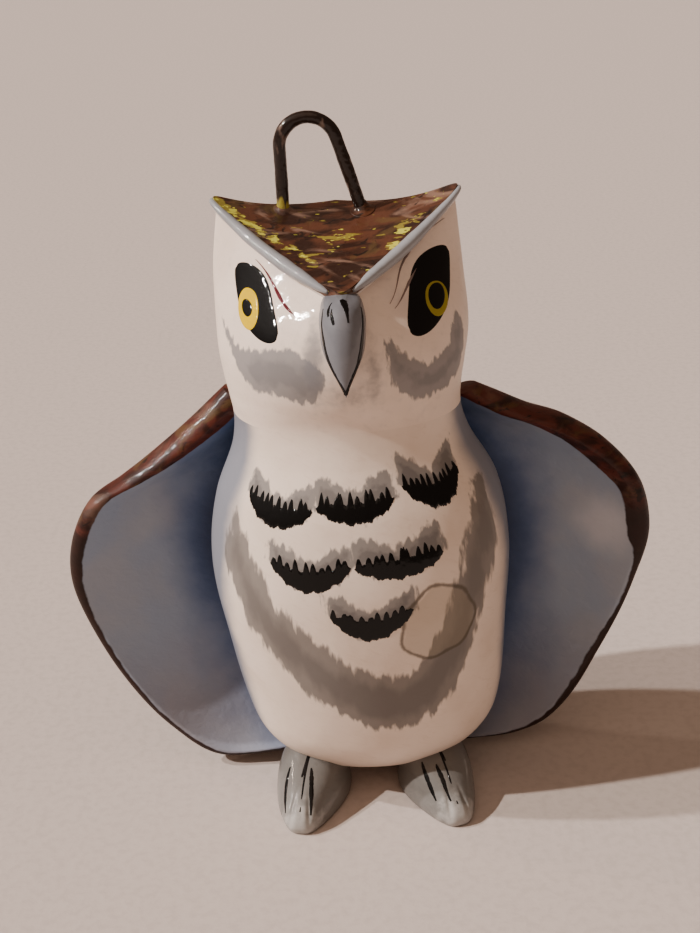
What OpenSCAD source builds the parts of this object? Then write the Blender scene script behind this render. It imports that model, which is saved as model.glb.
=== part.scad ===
// Owl figurine with spread wings and a wire hanging loop.
// Millimetres, +Z up, the face looks along -Y, the soles stand on z = 0.

/* [Body] */
// Widest half width of the egg-shaped torso
body_half_w = 18; // [14:0.5:22]
// How far the breast bulges forward of the body axis
body_front = 16; // [12:0.5:20]
// How far the back bulges behind the body axis
body_back = 12.4; // [10:0.2:15]
// Lowest point of the belly above the ground
belly_z = 1.3; // [0.8:0.1:3]
// Height of the joint between torso and head
neck_z = 49.8; // [46:0.2:53]

/* [Head] */
// Widest half width of the head
head_half_w = 14.9; // [12:0.1:18]
// Sideways shift of the head from the body axis
head_x = -0.9; // [-2:0.1:2]
// Height of the crown above the body axis
crown_z = 68.9; // [65:0.1:74]
// Rise of the crown per millimetre from front to back
crown_slope = 0.3; // [0:0.01:0.4]
// Thickness of the crown slab at its middle
crown_thick = 3.2; // [2.6:0.1:4]
// Rise of the two ear tips above the crown plane
ear_lift = 3.5; // [0:0.1:5]
// Radius of the clay coil that makes each brow
brow_r = 1.05; // [0.7:0.05:1.4]

/* [Beak] */
// Half width of the beak
beak_half_w = 2.35; // [1.5:0.05:3.5]
// Height of the beak tip
beak_tip_z = 56; // [53:0.5:59]

/* [Wings] */
// Thickness of the wing slab away from its rim
wing_thick = 2.2; // [1.6:0.1:3]
// Thickness of the rolled top edge at the shoulder
wing_rim = 5; // [3:0.1:6]
// Depth of the hollow in the front of each wing
wing_cup = 3.2; // [0:0.1:5]

/* [Feet] */
// Height of a foot where it meets the belly
foot_h = 8; // [6:0.5:9]
// Reach of the toes in front of the body axis
toe_y = -16.6; // [-19:0.1:-14]

/* [Hanging loop] */
// Diameter of the painted wire
wire_d = 1.4; // [1:0.1:1.8]
// Radius of the bend at the top of the loop, on the wire's centre line
loop_r = 3.3; // [2.6:0.1:4]
// Height of the centre of the bend
loop_z = 78.4; // [76:0.1:82]
// Lean of the straight leg on the right
loop_lean = 17; // [5:0.5:20]
// Depth of the wire in the crown
socket_depth = 2.0; // [1:0.1:2.2]

/* [Hidden] */
glue = 0.12;      // clear space between two pieces that are stuck together
round_n = 40;     // points around a section
wing_n = 30;      // sections along a wing

// Height, then half width, front and back of the torso as shares of the widest
torso_st = [[2, 0.73, 0.70, 0.75], [12, 0.885, 0.87, 0.89], [22, 0.955, 0.975, 0.97],
            [32, 1, 1, 1], [40, 0.93, 0.88, 0.92], [46, 0.775, 0.70, 0.81], [50, 0.74, 0.655, 0.775],
            [54, 0.785, 0.72, 0.8]];
belly_round_z = 10.5;
belly_x = 0.9;      // sideways shift of the belly
// Height, then half width, front and back of the head, and how three-sided it is
head_st = [[46, 0.936, 11.2, 10.0, 0], [50, 0.894, 10.5, 9.6, 0.00], [54, 0.95, 11.5, 9.9, 0.03], [57, 0.99, 12.1, 10.1, 0.05],
           [61, 1, 12.3, 10.0, 0.08], [66, 0.97, 11.8, 9.4, 0.12], [74, 0.93, 11.0, 8.6, 0.15]];
head_mid_y = 0.5;
// Sides of the three-cornered crown: the front sides and the back, as inverse distances
crown_ear = [15.6, 6.8];
crown_apex = 11;
crown_rear = 8.9;
crown_corner = 13;
// Height, half width and front face of the beak, from the tip up
beak_st = [[0, 0.12, 15.2], [0.12, 0.42, 15.6], [0.35, 0.86, 15.8], [0.6, 1, 15.4],
           [0.82, 0.96, 14.4], [0.95, 0.66, 13.0], [1, 0.2, 11.8]];
beak_h = 9.7;
// Along each wing: share of the way, then x, y and z of the middle of the rim
wing_r_st = [[0, 13.3, 5.2, 48.4], [0.08, 18.6, 4.4, 46.0], [0.16, 23.4, 3.4, 44.6],
             [0.24, 28.2, 2.2, 41.9], [0.34, 33.1, 1.1, 36.7], [0.42, 34.6, 0.8, 30.9],
             [0.52, 32.8, 0.7, 24.1], [0.67, 29.0, 0.6, 14.4], [0.84, 22.3, 0.6, 4.5],
             [0.91, 18.1, 0.6, 2.4], [1, 12.0, 0.8, 1.8]];
wing_l_st = [[0, 13.6, 5.2, 49.6], [0.07, 17.1, 4.6, 46.5], [0.155, 22.2, 3.4, 43.1],
             [0.23, 26.8, 2.4, 40.3], [0.3, 31.1, 1.4, 37.9], [0.37, 33.6, 0.9, 33.8],
             [0.45, 34.8, 0.8, 28.1], [0.54, 33.9, 0.7, 22.4], [0.66, 30.3, 0.6, 14.4],
             [0.8, 24.8, 0.3, 6.2], [0.905, 18.8, -0.4, 2.2], [1, 12.4, -1, 1.4]];
// Along each wing: x, y and z of the root line inside the body
wing_root_st = [[0, 5, 5.6, 46], [0.3, 10, 5.4, 38], [0.6, 10, 4.8, 24], [1, 6, 3.6, 7]];
// Along each wing: thickness of the rim, as shares of the shoulder's
wing_rim_st = [[0, 0.8], [0.08, 1], [0.22, 0.9], [0.32, 0.62], [0.42, 0.5], [1, 0.44]];
// Place of the hanging loop, the foot of its wire, and the way its right leg runs down
loop_x = head_x - 2.75;
loop_y = 6.4;
sink_z = crown_z + crown_slope * loop_y - socket_depth;
lean_down = [sin(loop_lean), 0, -cos(loop_lean)];
// Height of the tail's top
tail_h = 14;
// Height of a foot over its toe
foot_toe_h = 3.6;
// Along a foot from heel to toe: half width of the sole
foot_heel_w = 5.5;
foot_toe_w = 2.5;

// Slope of a table of stations at station i
function rate(s, i) =
    let (n = len(s) - 1, lo = max(i, 1), hi = min(i, n - 1),
         back = (s[lo] - s[lo - 1]) / (s[lo][0] - s[lo - 1][0]),
         ahead = (s[hi + 1] - s[hi]) / (s[hi + 1][0] - s[hi][0]))
    (back + ahead) / 2;

// Row of a table of stations at x, by a smooth curve through the rows
function row(s, x) =
    let (i = max([0, for (k = [0:len(s) - 2]) if (x >= s[k][0]) k]),
         h = s[i + 1][0] - s[i][0],
         t = (x - s[i][0]) / h,
         t2 = t * t,
         t3 = t2 * t)
    (2 * t3 - 3 * t2 + 1) * s[i] + (t3 - 2 * t2 + t) * h * rate(s, i)
    + (3 * t2 - 2 * t3) * s[i + 1] + (t3 - t2) * h * rate(s, i + 1);

// Sideways shift of a level section: the belly's low down, then none, the head's at the top
function sway(z) =
    let (t = min(1, max(0, (z - 36) / 20)), b = min(1, max(0, (30 - z) / 22)))
    head_x * t * t * (3 - 2 * t) + belly_x * b * b * (3 - 2 * b);

function angles(n) = [for (k = [0:n - 1]) 360 * k / n];
function mean(pts) = pts * [for (p = pts) 1] / len(pts);
function middle(pts) = [for (k = [0:2]) mean([for (p = pts) p[k]])];
function unit(v) = v / norm(v);
function dome(t) = sqrt(max(0, 1 - t * t));
// A fuller dome, squarer at its corner
function full_dome(t) = pow(max(0, 1 - pow(t, 2.3)), 0.43);

// Closed skin over rings of equal length, each end closed to the middle of its ring
module loft(rings) {
    n = len(rings[0]);
    m = len(rings);
    points = [for (r = rings) each r, middle(rings[0]), middle(rings[m - 1])];
    sides = [for (i = [0:m - 2], j = [0:n - 1])
             let (a = i * n + j, b = i * n + (j + 1) % n) each [[a, a + n, b + n], [a, b + n, b]]];
    first = [for (j = [0:n - 1]) [m * n, j, (j + 1) % n]];
    last = [for (j = [0:n - 1]) [m * n + 1, (m - 1) * n + (j + 1) % n, (m - 1) * n + j]];
    polyhedron(points, concat(sides, first, last), convexity = 8);
}

// One level ring of the torso, grown outwards by g
function torso_ring(z, g) =
    let (s = row(torso_st, z),
         cap = z < belly_round_z ? full_dome((belly_round_z - z) / (belly_round_z - belly_z)) : 1,
         a = s[1] * body_half_w * cap + g,
         f = s[2] * body_front * cap + g,
         b = s[3] * body_back * cap + g)
    [for (q = angles(round_n)) [sway(z) + a * sin(q), (b - f) / 2 - (b + f) / 2 * cos(q), z]];

// Half width, front and back of the body's level section at height z
function body_axes(z) =
    let (s = row(z < neck_z ? torso_st : head_st, z),
         cap = z < belly_round_z ? full_dome((belly_round_z - z) / (belly_round_z - belly_z)) : 1)
    z < neck_z
    ? [s[1] * body_half_w * cap, s[2] * body_front * cap, s[3] * body_back * cap]
    : [s[1] * head_half_w, s[2], s[3]];
// How far out of the body a point is: under 1 is inside
function body_share(p) =
    p[2] <= belly_z ? 9 :
    let (v = body_axes(p[2]))
    norm([(p[0] - sway(p[2])) / (v[0] + glue), (p[1] - (v[2] - v[1]) / 2) / ((v[1] + v[2]) / 2 + glue)]);
// Where the line f(s) leaves the body, halving n times between lo inside and hi outside
function way_out(f, lo, hi, n = 14) =
    n == 0 ? hi :
    let (m = (lo + hi) / 2)
    body_share(f(m)) < 1 ? way_out(f, m, hi, n - 1) : way_out(f, lo, m, n - 1);
// Height of the belly over a point on the ground, or 99 beside it
function belly_over(x, y) =
    body_share([x, y, belly_round_z]) >= 1 ? 99 :
    way_out(function (s) [x, y, belly_round_z - s], 0, belly_round_z - belly_z);
// Distance back to the body's rear surface at x and height z
function rear_at(x, z) =
    let (v = body_axes(max(z, belly_z + 0.01)),
         side = (x - sway(z)) / (v[0] + glue))
    z <= belly_z || abs(side) >= 1 ? -99 :
    (v[2] - v[1]) / 2 + ((v[1] + v[2]) / 2 + glue) * dome(side);

module torso_skin(g = 0) {
    heights = [for (k = [1:7]) belly_round_z - (belly_round_z - belly_z) * cos(k * 90 / 8)];
    uppers = [for (k = [0:14]) belly_round_z + (neck_z + 2 * g - belly_round_z) * k / 14];
    loft([for (z = concat(heights, uppers)) torso_ring(z, g)]);
}

// Outline of the crown: distance from its middle in direction q, 0 at the front
function crown_reach(q) =
    let (side = [crown_ear[1] - head_mid_y + crown_apex, -crown_ear[0]],
         span = crown_apex * crown_ear[0],
         c = cos(q),
         s = sin(q),
         right = max(0, side[0] * s - side[1] * c) / span,
         left = max(0, -side[0] * s - side[1] * c) / span,
         back = max(0, 0.19 * abs(s) - c) / (crown_rear - head_mid_y))
    pow(pow(right, crown_corner) + pow(left, crown_corner) + pow(back, crown_corner), -1 / crown_corner);
function crown_at(q, share, grow) =
    [head_x + (crown_reach(q) * share + grow) * sin(q), head_mid_y - (crown_reach(q) * share + grow) * cos(q)];
// Upper face of the crown: a plane that rises to the back, and to the ears
function crown_top(p) =
    crown_z + crown_slope * p[1] + ear_lift * pow(min(1.2, abs(p[0] - head_x) / crown_ear[0]), 2.4);
// Lower face of the crown, thinner towards its edge
function crown_under(p, share) = crown_top(p) - crown_thick * (1 - 0.5 * share * share);

// One ring of the head at share s of its height, grown outwards by g
function head_ring(s, g) =
    [for (q = angles(round_n))
     let (z0 = neck_z + glue + s * (crown_z - 2.2 - neck_z),
          h = row(head_st, z0),
          k = h[4],
          r = 1 + k * cos(3 * q),
          d = (h[2] + h[3]) / 2,
          egg = [sway(z0) + (h[1] * head_half_w * r / (1 + 0.3 * k) + g) * sin(q),
                 h[3] - d * (1 - k) - (d * r + g) * cos(q)],
          rim = crown_at(q, 0.96, g),
          w = pow(s, 4),
          p = egg * (1 - w) + rim * w,
          top = crown_under(p, 0.96) - glue)
     [p[0], p[1], neck_z + glue + s * (top - neck_z - glue)]];

function head_lid(share, g) =
    [for (q = angles(round_n)) let (p = crown_at(q, share, g * share)) [p[0], p[1], crown_under(p, share) - glue]];

module head_skin(g = 0) {
    walls = [for (k = [0:16]) head_ring(k / 16, g)];
    lid = [for (share = [0.75, 0.5, 0.25]) head_lid(share, g)];
    loft(concat(walls, lid));
}

function crown_ring(share, up, grow, lift) =
    [for (q = angles(round_n))
     let (p = crown_at(q, share, grow))
     [p[0], p[1], up ? crown_top(p) + lift : crown_under(p, min(1, share)) - lift]];

module crown_skin(g = 0) {
    below = [for (share = [0.25, 0.5, 0.75, 0.96]) crown_ring(share, false, g * share, g)];
    edge = [crown_ring(1, false, g, g - 0.2), crown_ring(1, true, g + 0.15, g - 0.6), crown_ring(1, true, g, g - 0.15)];
    above = [for (share = [0.93, 0.75, 0.5, 0.25]) crown_ring(share, true, g * share, g)];
    loft(concat(below, edge, above));
}

// Rings around a curved rod: points of its centre line, its radius at each, and a direction
// that the rod never runs along
function rod_rings(path, radii, n, off_axis) =
    [for (i = [0:len(path) - 1])
     let (t = unit(path[min(i + 1, len(path) - 1)] - path[max(i - 1, 0)]),
          u = unit(cross(t, off_axis)),
          v = cross(u, t))
     [for (q = angles(n)) path[i] + radii[i] * (u * cos(q) + v * sin(q))]];

// A brow: a half round coil that lies on the crown along one of its front edges
module brow(side) {
    steps = 24;
    rings = [for (k = [0:steps])
             let (q = side * (112 - 99 * k / steps),
                  r = brow_r * max(0.3, min(1, pow(sin(180 * k / steps), 0.4))),
                  a = crown_at(q + 1, 1, -0.35),
                  b = crown_at(q - 1, 1, -0.35),
                  along = unit(b - a),
                  out = [along[1], -along[0]])
             [for (w = angles(16))
              let (p = (a + b) / 2 + out * (r * 1.15 * cos(w)))
              [p[0], p[1], crown_top(p) + glue + (sin(w) > 0 ? 1.15 * r * sin(w) : 0)]]];
    color("slategray")
    loft(side > 0 ? rings : [for (ring = rings) [for (k = [15:-1:0]) ring[k]]]);
}

module torso() {
    color("ivory") torso_skin();
}

module head() {
    color("white") head_skin();
}

// Two holes for the ends of the wire, open at the top
module sockets() {
    bend_end = [loop_x + loop_r * cos(loop_lean), loop_y, loop_z + loop_r * sin(loop_lean)];
    floor_right = bend_end + lean_down * (bend_end[2] - sink_z + 0.1) / cos(loop_lean);
    translate([loop_x - loop_r, loop_y, sink_z - 0.1])
        cylinder(r = wire_d / 2 + 0.04, h = socket_depth + 3, $fn = 24);
    translate(floor_right)
        rotate([0, -loop_lean, 0])
        cylinder(r = wire_d / 2 + 0.04, h = socket_depth + 3, $fn = 24);
}

module crown() {
    color("saddlebrown")
    resize([0, 0, 0])
    difference() {
        crown_skin();
        sockets();
    }
}

// Place of the head's front surface at x and height z
function face_at(x, z) =
    let (h = row(head_st, z),
         k = h[4],
         d = (h[2] + h[3]) / 2,
         q = asin((x - sway(z)) / (h[1] * head_half_w)))
    h[3] - d * (1 - k) - d * (1 + k * cos(3 * q)) * cos(q) - glue;

// A beak ring: its round front, then its back along the face
module beak() {
    mid = head_x + 0.3;
    rings = [for (k = [0:14])
             let (t = k / 14,
                  s = row(beak_st, t),
                  w = s[1] * beak_half_w,
                  z = beak_tip_z + t * beak_h,
                  lift = 0.3 * (1 - t))
             concat(
                 [for (q = [90:-15:-90])
                  let (x = mid - w * sin(q), y = min(-s[2] + 4 * (1 - cos(q)), face_at(x, z) - 0.5))
                  [x, y, z + lift * (y + s[2])]],
                 [for (u = [1:-0.25:-1])
                  let (x = mid + w * u, y = min(face_at(x, z), z > 63 ? -10.9 : 0))
                  [x, y, z + lift * (y + s[2])]])];
    color("gray") loft(rings);
}

// Section of a wing: front face, round rim and back face, from the body's side and back to it
function wing_ring(st, t, side) =
    let (e = row(st, t),
         r = row(wing_root_st, t),
         rim = wing_rim * row(wing_rim_st, t)[1],
         tip = [side * e[1], e[2], e[3]],
         root = [side * r[1], r[2], r[3]],
         reach = norm(tip - root),
         d = unit(tip - root),
         n = unit([0, 1, 0] - d * d[1]),
         half = function (s) let (a = (reach - s) / rim)
                wing_thick / 2 + (rim - wing_thick) / 2 * exp(-a * a),
         bow = function (s) wing_cup * min(1, reach / 20) * sin(180 * min(1, s / reach)),
         front = function (s) root + d * s + n * (bow(s) - half(s)),
         middle_line = function (s) root + d * s + n * bow(s),
         rear = function (s) root + d * s + n * (bow(s) + half(s)),
         sf = way_out(front, 0, reach),
         sm = way_out(middle_line, 0, reach),
         sr = way_out(rear, 0, reach))
    concat([for (k = [0:9]) front(sf + (reach - sf) * k / 9)],
           [for (q = [30:30:150]) tip + d * (rim / 2 * sin(q)) - n * (rim / 2 * cos(q))],
           [for (k = [9:-1:0]) rear(sr + (reach - sr) * k / 9)],
           [middle_line(sm)]);

module wing(side, st) {
    rings = [for (k = [0:wing_n]) wing_ring(st, k / wing_n, side)];
    turned = [for (r = rings) side > 0 ? r : [for (k = [len(r) - 1:-1:0]) r[k]]];
    color("saddlebrown") loft(turned);
}

// The lesser of two heights, with their crease rounded
function lesser(a, b) = -ln(exp(-3 * a) + exp(-3 * b)) / 3;

// Outline point of a foot in direction q, 0 at the toe: a wedge with round corners
function foot_at(heel, toe, q, share) =
    let (d = unit(toe - heel),
         n = [-d[1], d[0]],
         reach = norm(toe - heel),
         along = reach / 2 * (1 + cos(q)),
         f = along / reach,
         w = foot_heel_w * (1 - f) + foot_toe_w * f,
         mid = heel + d * (reach * 0.45))
    mid + (heel + d * along + n * (w * sign(sin(q)) * pow(abs(sin(q)), 0.62)) - mid) * share;

// Top of a foot: it rises from the toe to the heel, rounds over at its edge, and stops at the belly
function foot_top(heel, toe, p, share) =
    let (f = (p - heel) * unit(toe - heel) / norm(toe - heel),
         h = foot_toe_h + (foot_h - foot_toe_h) * pow(1 - min(1, max(0, f)), 1.2))
    max(0.9, lesser(0.9 + (h - 0.9) * pow(1 - pow(share, 3), 0.5), belly_over(p[0], p[1]) - 0.05));

module foot(side, toe_x) {
    heel = [side * 6.2, -3.5];
    toe = [toe_x, toe_y];
    sole = [for (v = [[0.93, 0], [0.985, 0.3], [1, 0.8]])
            [for (q = angles(48)) let (p = foot_at(heel, toe, q, v[0])) [p[0], p[1], v[1]]]];
    over = [for (share = [0.985, 0.95, 0.9, 0.84, 0.78, 0.71, 0.64, 0.56, 0.48, 0.4, 0.3, 0.2, 0.1])
            [for (q = angles(48))
             let (p = foot_at(heel, toe, q, share)) [p[0], p[1], foot_top(heel, toe, p, share)]]];
    color("silver") loft(concat(sole, over));
}

// A tongue that leans on the back of the body and stands on the ground
module tail() {
    rings = [for (k = [0:12])
             let (t = k / 12,
                  z = tail_h * t,
                  y = 14.4 - 6.2 * pow(t, 1.4),
                  w = 6.4 * (0.72 + 0.28 * sin(180 * min(1, t * 1.1 + 0.1))) * (1 - 0.3 * t * t),
                  h = 2.3 + 1.2 * t)
             [for (q = angles(28))
              let (x = w * sign(sin(q)) * pow(abs(sin(q)), 0.7),
                   back = max(0, -cos(q)),
                   raw = y - h * sign(cos(q)) * pow(abs(cos(q)), 0.8),
                   wall = max(rear_at(x, z - 0.5), rear_at(x, z), rear_at(x, z + 0.5)))
              [x, max(raw, wall + 0.05 + 0.8 * pow(back, 0.5)), z]]];
    color("saddlebrown") loft(rings);
}

module hanger_loop() {
    bend = [for (k = [0:20])
            let (q = 180 - (180 - loop_lean) * k / 20)
            [loop_x + loop_r * cos(q), loop_y, loop_z + loop_r * sin(q)]];
    right = bend[20] + lean_down * (bend[20][2] - sink_z) / cos(loop_lean);
    path = concat([[loop_x - loop_r, loop_y, sink_z]], bend, [right]);
    color("darkslategray")
    loft(rod_rings(path, [for (p = path) wire_d / 2], 24, [0, 1, 0]));
}

torso();
head();
crown();
brow(-1);  // brow_left
brow(1);  // brow_right
beak();
wing(-1, wing_l_st);  // wing_left
wing(1, wing_r_st);  // wing_right
foot(-1, -9.2);  // foot_left
foot(1, 10.4);  // foot_right
tail();
hanger_loop();
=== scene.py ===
"""Hand-painted clay owl with spread wings and a wire loop to hang it by.

Sizes are in millimetres and angles in degrees. +Z is up and the face looks along -Y. A place
on the body or the head is given as q, the direction round from the front, and z, the height.
"""

import logging
from collections.abc import Callable
from dataclasses import dataclass
from enum import Enum

import bpy
import numpy as np
from mathutils import Matrix


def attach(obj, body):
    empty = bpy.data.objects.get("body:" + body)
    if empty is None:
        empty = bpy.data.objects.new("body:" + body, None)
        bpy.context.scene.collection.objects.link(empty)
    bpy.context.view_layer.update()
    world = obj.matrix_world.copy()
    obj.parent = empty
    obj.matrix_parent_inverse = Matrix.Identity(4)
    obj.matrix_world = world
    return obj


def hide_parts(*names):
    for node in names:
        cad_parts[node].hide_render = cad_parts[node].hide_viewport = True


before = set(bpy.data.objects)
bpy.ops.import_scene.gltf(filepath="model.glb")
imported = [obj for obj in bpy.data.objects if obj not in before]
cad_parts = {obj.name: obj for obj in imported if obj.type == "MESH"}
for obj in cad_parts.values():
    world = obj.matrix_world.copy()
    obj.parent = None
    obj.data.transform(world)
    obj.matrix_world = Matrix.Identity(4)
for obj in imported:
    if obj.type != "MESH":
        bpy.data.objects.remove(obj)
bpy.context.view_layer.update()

MM = 0.001
BODY = "root"
Array = np.ndarray
Points = tuple[tuple[float, float], ...]
Surface = Callable[[Array, Array], Array]
Fields = dict[str, Array]

log = logging.getLogger("owl")


# ---------------------------------------------------------------------------------------------
# Curves and grids


@dataclass(frozen=True)
class Stations:
    """A smooth curve through rows of numbers, each row starting with its position."""

    rows: tuple[tuple[float, ...], ...]

    def at(self, where: Array | float) -> Array:
        """Read the curve.

        Between two rows it is the cubic whose slope at each row is the mean of the slopes
        of the straight lines on either side.

        Args:
            where: Positions, of any shape.

        Returns:
            The values there, with one last axis for the columns.
        """
        table = np.array(self.rows, float)
        pos, val = table[:, 0], table[:, 1:]
        where = np.clip(np.asarray(where, float), pos[0], pos[-1])
        chord = np.diff(val, axis=0) / np.diff(pos)[:, None]
        slope = np.concatenate([chord[:1], (chord[1:] + chord[:-1]) / 2, chord[-1:]])
        i = np.clip(np.searchsorted(pos, where, side="right") - 1, 0, len(pos) - 2)
        step = (pos[i + 1] - pos[i])[..., None]
        t = (where - pos[i])[..., None] / step
        return (
            (2 * t**3 - 3 * t**2 + 1) * val[i]
            + (t**3 - 2 * t**2 + t) * step * slope[i]
            + (3 * t**2 - 2 * t**3) * val[i + 1]
            + (t**3 - t**2) * step * slope[i + 1]
        )


def along(points: Points, count: int, closed: bool = False) -> Array:
    """Trace a smooth line through points at an even pace.

    Args:
        points: The points that the line runs through.
        count: How many points to return.
        closed: Whether the line runs on from its last point to its first.

    Returns:
        The traced points, an array of count rows.
    """
    rows = np.array(points, float)
    if closed:
        rows = np.concatenate([rows[-3:], rows, rows[:3]])
    pace = np.concatenate([[0], np.cumsum(np.linalg.norm(np.diff(rows, axis=0), axis=1))])
    line = Stations(tuple(map(tuple, np.column_stack([pace, rows]).tolist())))
    if closed:
        return line.at(np.linspace(pace[3], pace[-3], count, endpoint=False))
    return line.at(np.linspace(0, pace[-1], count))


def ripple(where: Array, seed: int, waves: int = 6, longest: float = 1.0) -> Array:
    """Make a wavering number between about -1 and 1.

    It is a sum of sine waves, each half as long as the one before and less tall.

    Args:
        where: Positions, of any shape.
        seed: Picks the phases.
        waves: How many waves are added up.
        longest: Length of the longest wave.

    Returns:
        The wavering numbers, one for each position.
    """
    phase = np.random.default_rng(seed).uniform(0, 2 * np.pi, waves)
    total = 0 * np.asarray(where, float)
    for k in range(waves):
        total = total + 0.7**k * np.sin(2 * np.pi * where * 1.7**k / longest + phase[k])
    return total / 1.8


def fingered(points: Array, depth: float = 0.12) -> Array:
    """Give clay the slight unevenness of hand shaping.

    Each coordinate is shifted by a product of two slow sine waves of the other two, so
    pieces that touch stay together.

    Args:
        points: Points in millimetres, the last axis being x, y and z.
        depth: Largest shift in millimetres.

    Returns:
        The shifted points.
    """
    x, y, z = np.moveaxis(points, -1, 0)
    shift = np.stack(
        [
            np.sin(z / 2.9 + 0.7 * np.sin(y / 3.1)) * np.sin(y / 4.3 + 1.0),
            np.sin(x / 3.3 + 2.0) * np.sin(z / 3.9 + 0.6 * np.sin(x / 2.3)),
            np.sin(y / 3.7 + 0.5) * np.sin(x / 4.1 + 4.0),
        ],
        -1,
    )
    return points + depth * shift


def ease(t: Array) -> Array:
    """An S-curve from 0 at t = 0 to 1 at t = 1, and level outside."""
    t = np.clip(t, 0, 1)
    return t * t * (3 - 2 * t)


def sway(z: Array, reach: float, belly: float = 0.9) -> Array:
    """Sideways shift at height z: belly up to 8 mm, nothing at 30 to 36 mm, reach at 56 mm."""
    return reach * ease((z - 36) / 20) + belly * ease((30 - z) / 22)


def swell(q: Array, z: Array, middle: tuple[float, float], size: tuple[float, float]) -> Array:
    """Height, from 0 to 1, of a bell-shaped swelling centred at middle = (q, z)."""
    return np.exp(-(((q - middle[0]) / size[0]) ** 2) - ((z - middle[1]) / size[1]) ** 2)


def inside(q: Array, z: Array, outline: Array, mm_per_degree: float) -> Array:
    """Measure how far inside an outline each place is.

    Args:
        q: Directions of the places.
        z: Heights of the places.
        outline: Corners of the outline, an array of (q, z) rows.
        mm_per_degree: Width of one degree on the surface.

    Returns:
        The distance to the outline in millimetres, positive inside and negative outside.
    """
    flat = np.stack([q.ravel() * mm_per_degree, z.ravel()], -1)
    start = outline * [mm_per_degree, 1]
    end = np.roll(start, -1, 0)
    gap = np.full(len(flat), 1e9)
    odd = np.zeros(len(flat), bool)
    for a, b in zip(start, end):
        side = b - a
        share = np.clip((flat - a) @ side / max(side @ side, 1e-9), 0, 1)
        gap = np.minimum(gap, np.linalg.norm(flat - a - share[:, None] * side, axis=1))
        crosses = (a[1] > flat[:, 1]) != (b[1] > flat[:, 1])
        height = np.where(side[1] == 0, 1e-9, side[1])
        odd ^= crosses & (flat[:, 0] < a[0] + (flat[:, 1] - a[1]) / height * side[0])
    return np.where(odd, gap, -gap).reshape(q.shape)


def skin(name: str, rings: Array, fields: Fields | None = None) -> bpy.types.Object:
    """Make a closed skin over rings of points.

    Ring i joins ring i + 1 by four-sided faces, and each end closes with a fan to the mean
    of its ring. If the volume they enclose comes out negative, every face is turned round.

    Args:
        name: Name of the piece.
        rings: Points in millimetres, of shape (rings, points in a ring, 3).
        fields: Numbers for the finish to read, each of shape (rings, points in a ring).

    Returns:
        The piece, linked into the scene.
    """
    m, n, _ = rings.shape
    ends = rings[[0, -1]].mean(1)
    points = np.concatenate([rings.reshape(-1, 3), ends]) * MM
    here = np.arange(m * n).reshape(m, n)
    after = np.roll(here, -1, 1)
    quads = np.stack([here[:-1], here[1:], after[1:], after[:-1]], -1).reshape(-1, 4)
    first = np.stack([np.full(n, m * n), here[0], after[0]], -1)
    last = np.stack([np.full(n, m * n + 1), after[-1], here[-1]], -1)
    fans = np.concatenate([first, last])
    halves = np.concatenate([quads[:, :3], quads[:, [0, 2, 3]], fans])
    a, b, c = (points[halves[:, k]] - points[0] for k in range(3))
    if np.einsum("ij,ij", a, np.cross(b, c)) < 0:
        quads, fans = quads[:, ::-1], fans[:, ::-1]
    mesh = bpy.data.meshes.new(name)
    mesh.from_pydata(points.tolist(), [], quads.tolist() + fans.tolist())
    mesh.polygons.foreach_set("use_smooth", np.ones(len(mesh.polygons), bool))
    for key, values in (fields or {}).items():
        full = np.concatenate([values.ravel(), values[[0, -1]].mean(1)]).astype(np.float32)
        mesh.attributes.new(key, "FLOAT", "POINT").data.foreach_set("value", full)
    mesh.update()
    piece = bpy.data.objects.new(name, mesh)
    bpy.context.scene.collection.objects.link(piece)
    return piece


def unit(vectors: Array) -> Array:
    """The vectors at length one."""
    return vectors / np.maximum(np.linalg.norm(vectors, axis=-1, keepdims=True), 1e-12)


def outward(at: Surface, u: Array, v: Array, heart: tuple[float, float, float]) -> Array:
    """Work out the outward normals of a surface.

    Args:
        at: The surface, a function of two parameters.
        u: First parameters.
        v: Second parameters.
        heart: A point inside the form, which the normals turn away from.

    Returns:
        The unit normals, the cross product of small steps along the two parameters.
    """
    step = 0.02
    across = at(u + step, v) - at(u - step, v)
    up = at(u, v + step) - at(u, v - step)
    normal = unit(np.cross(across, up))
    sign = np.sign(((at(u, v) - np.array(heart)) * normal).sum(-1, keepdims=True))
    return normal * sign


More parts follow.
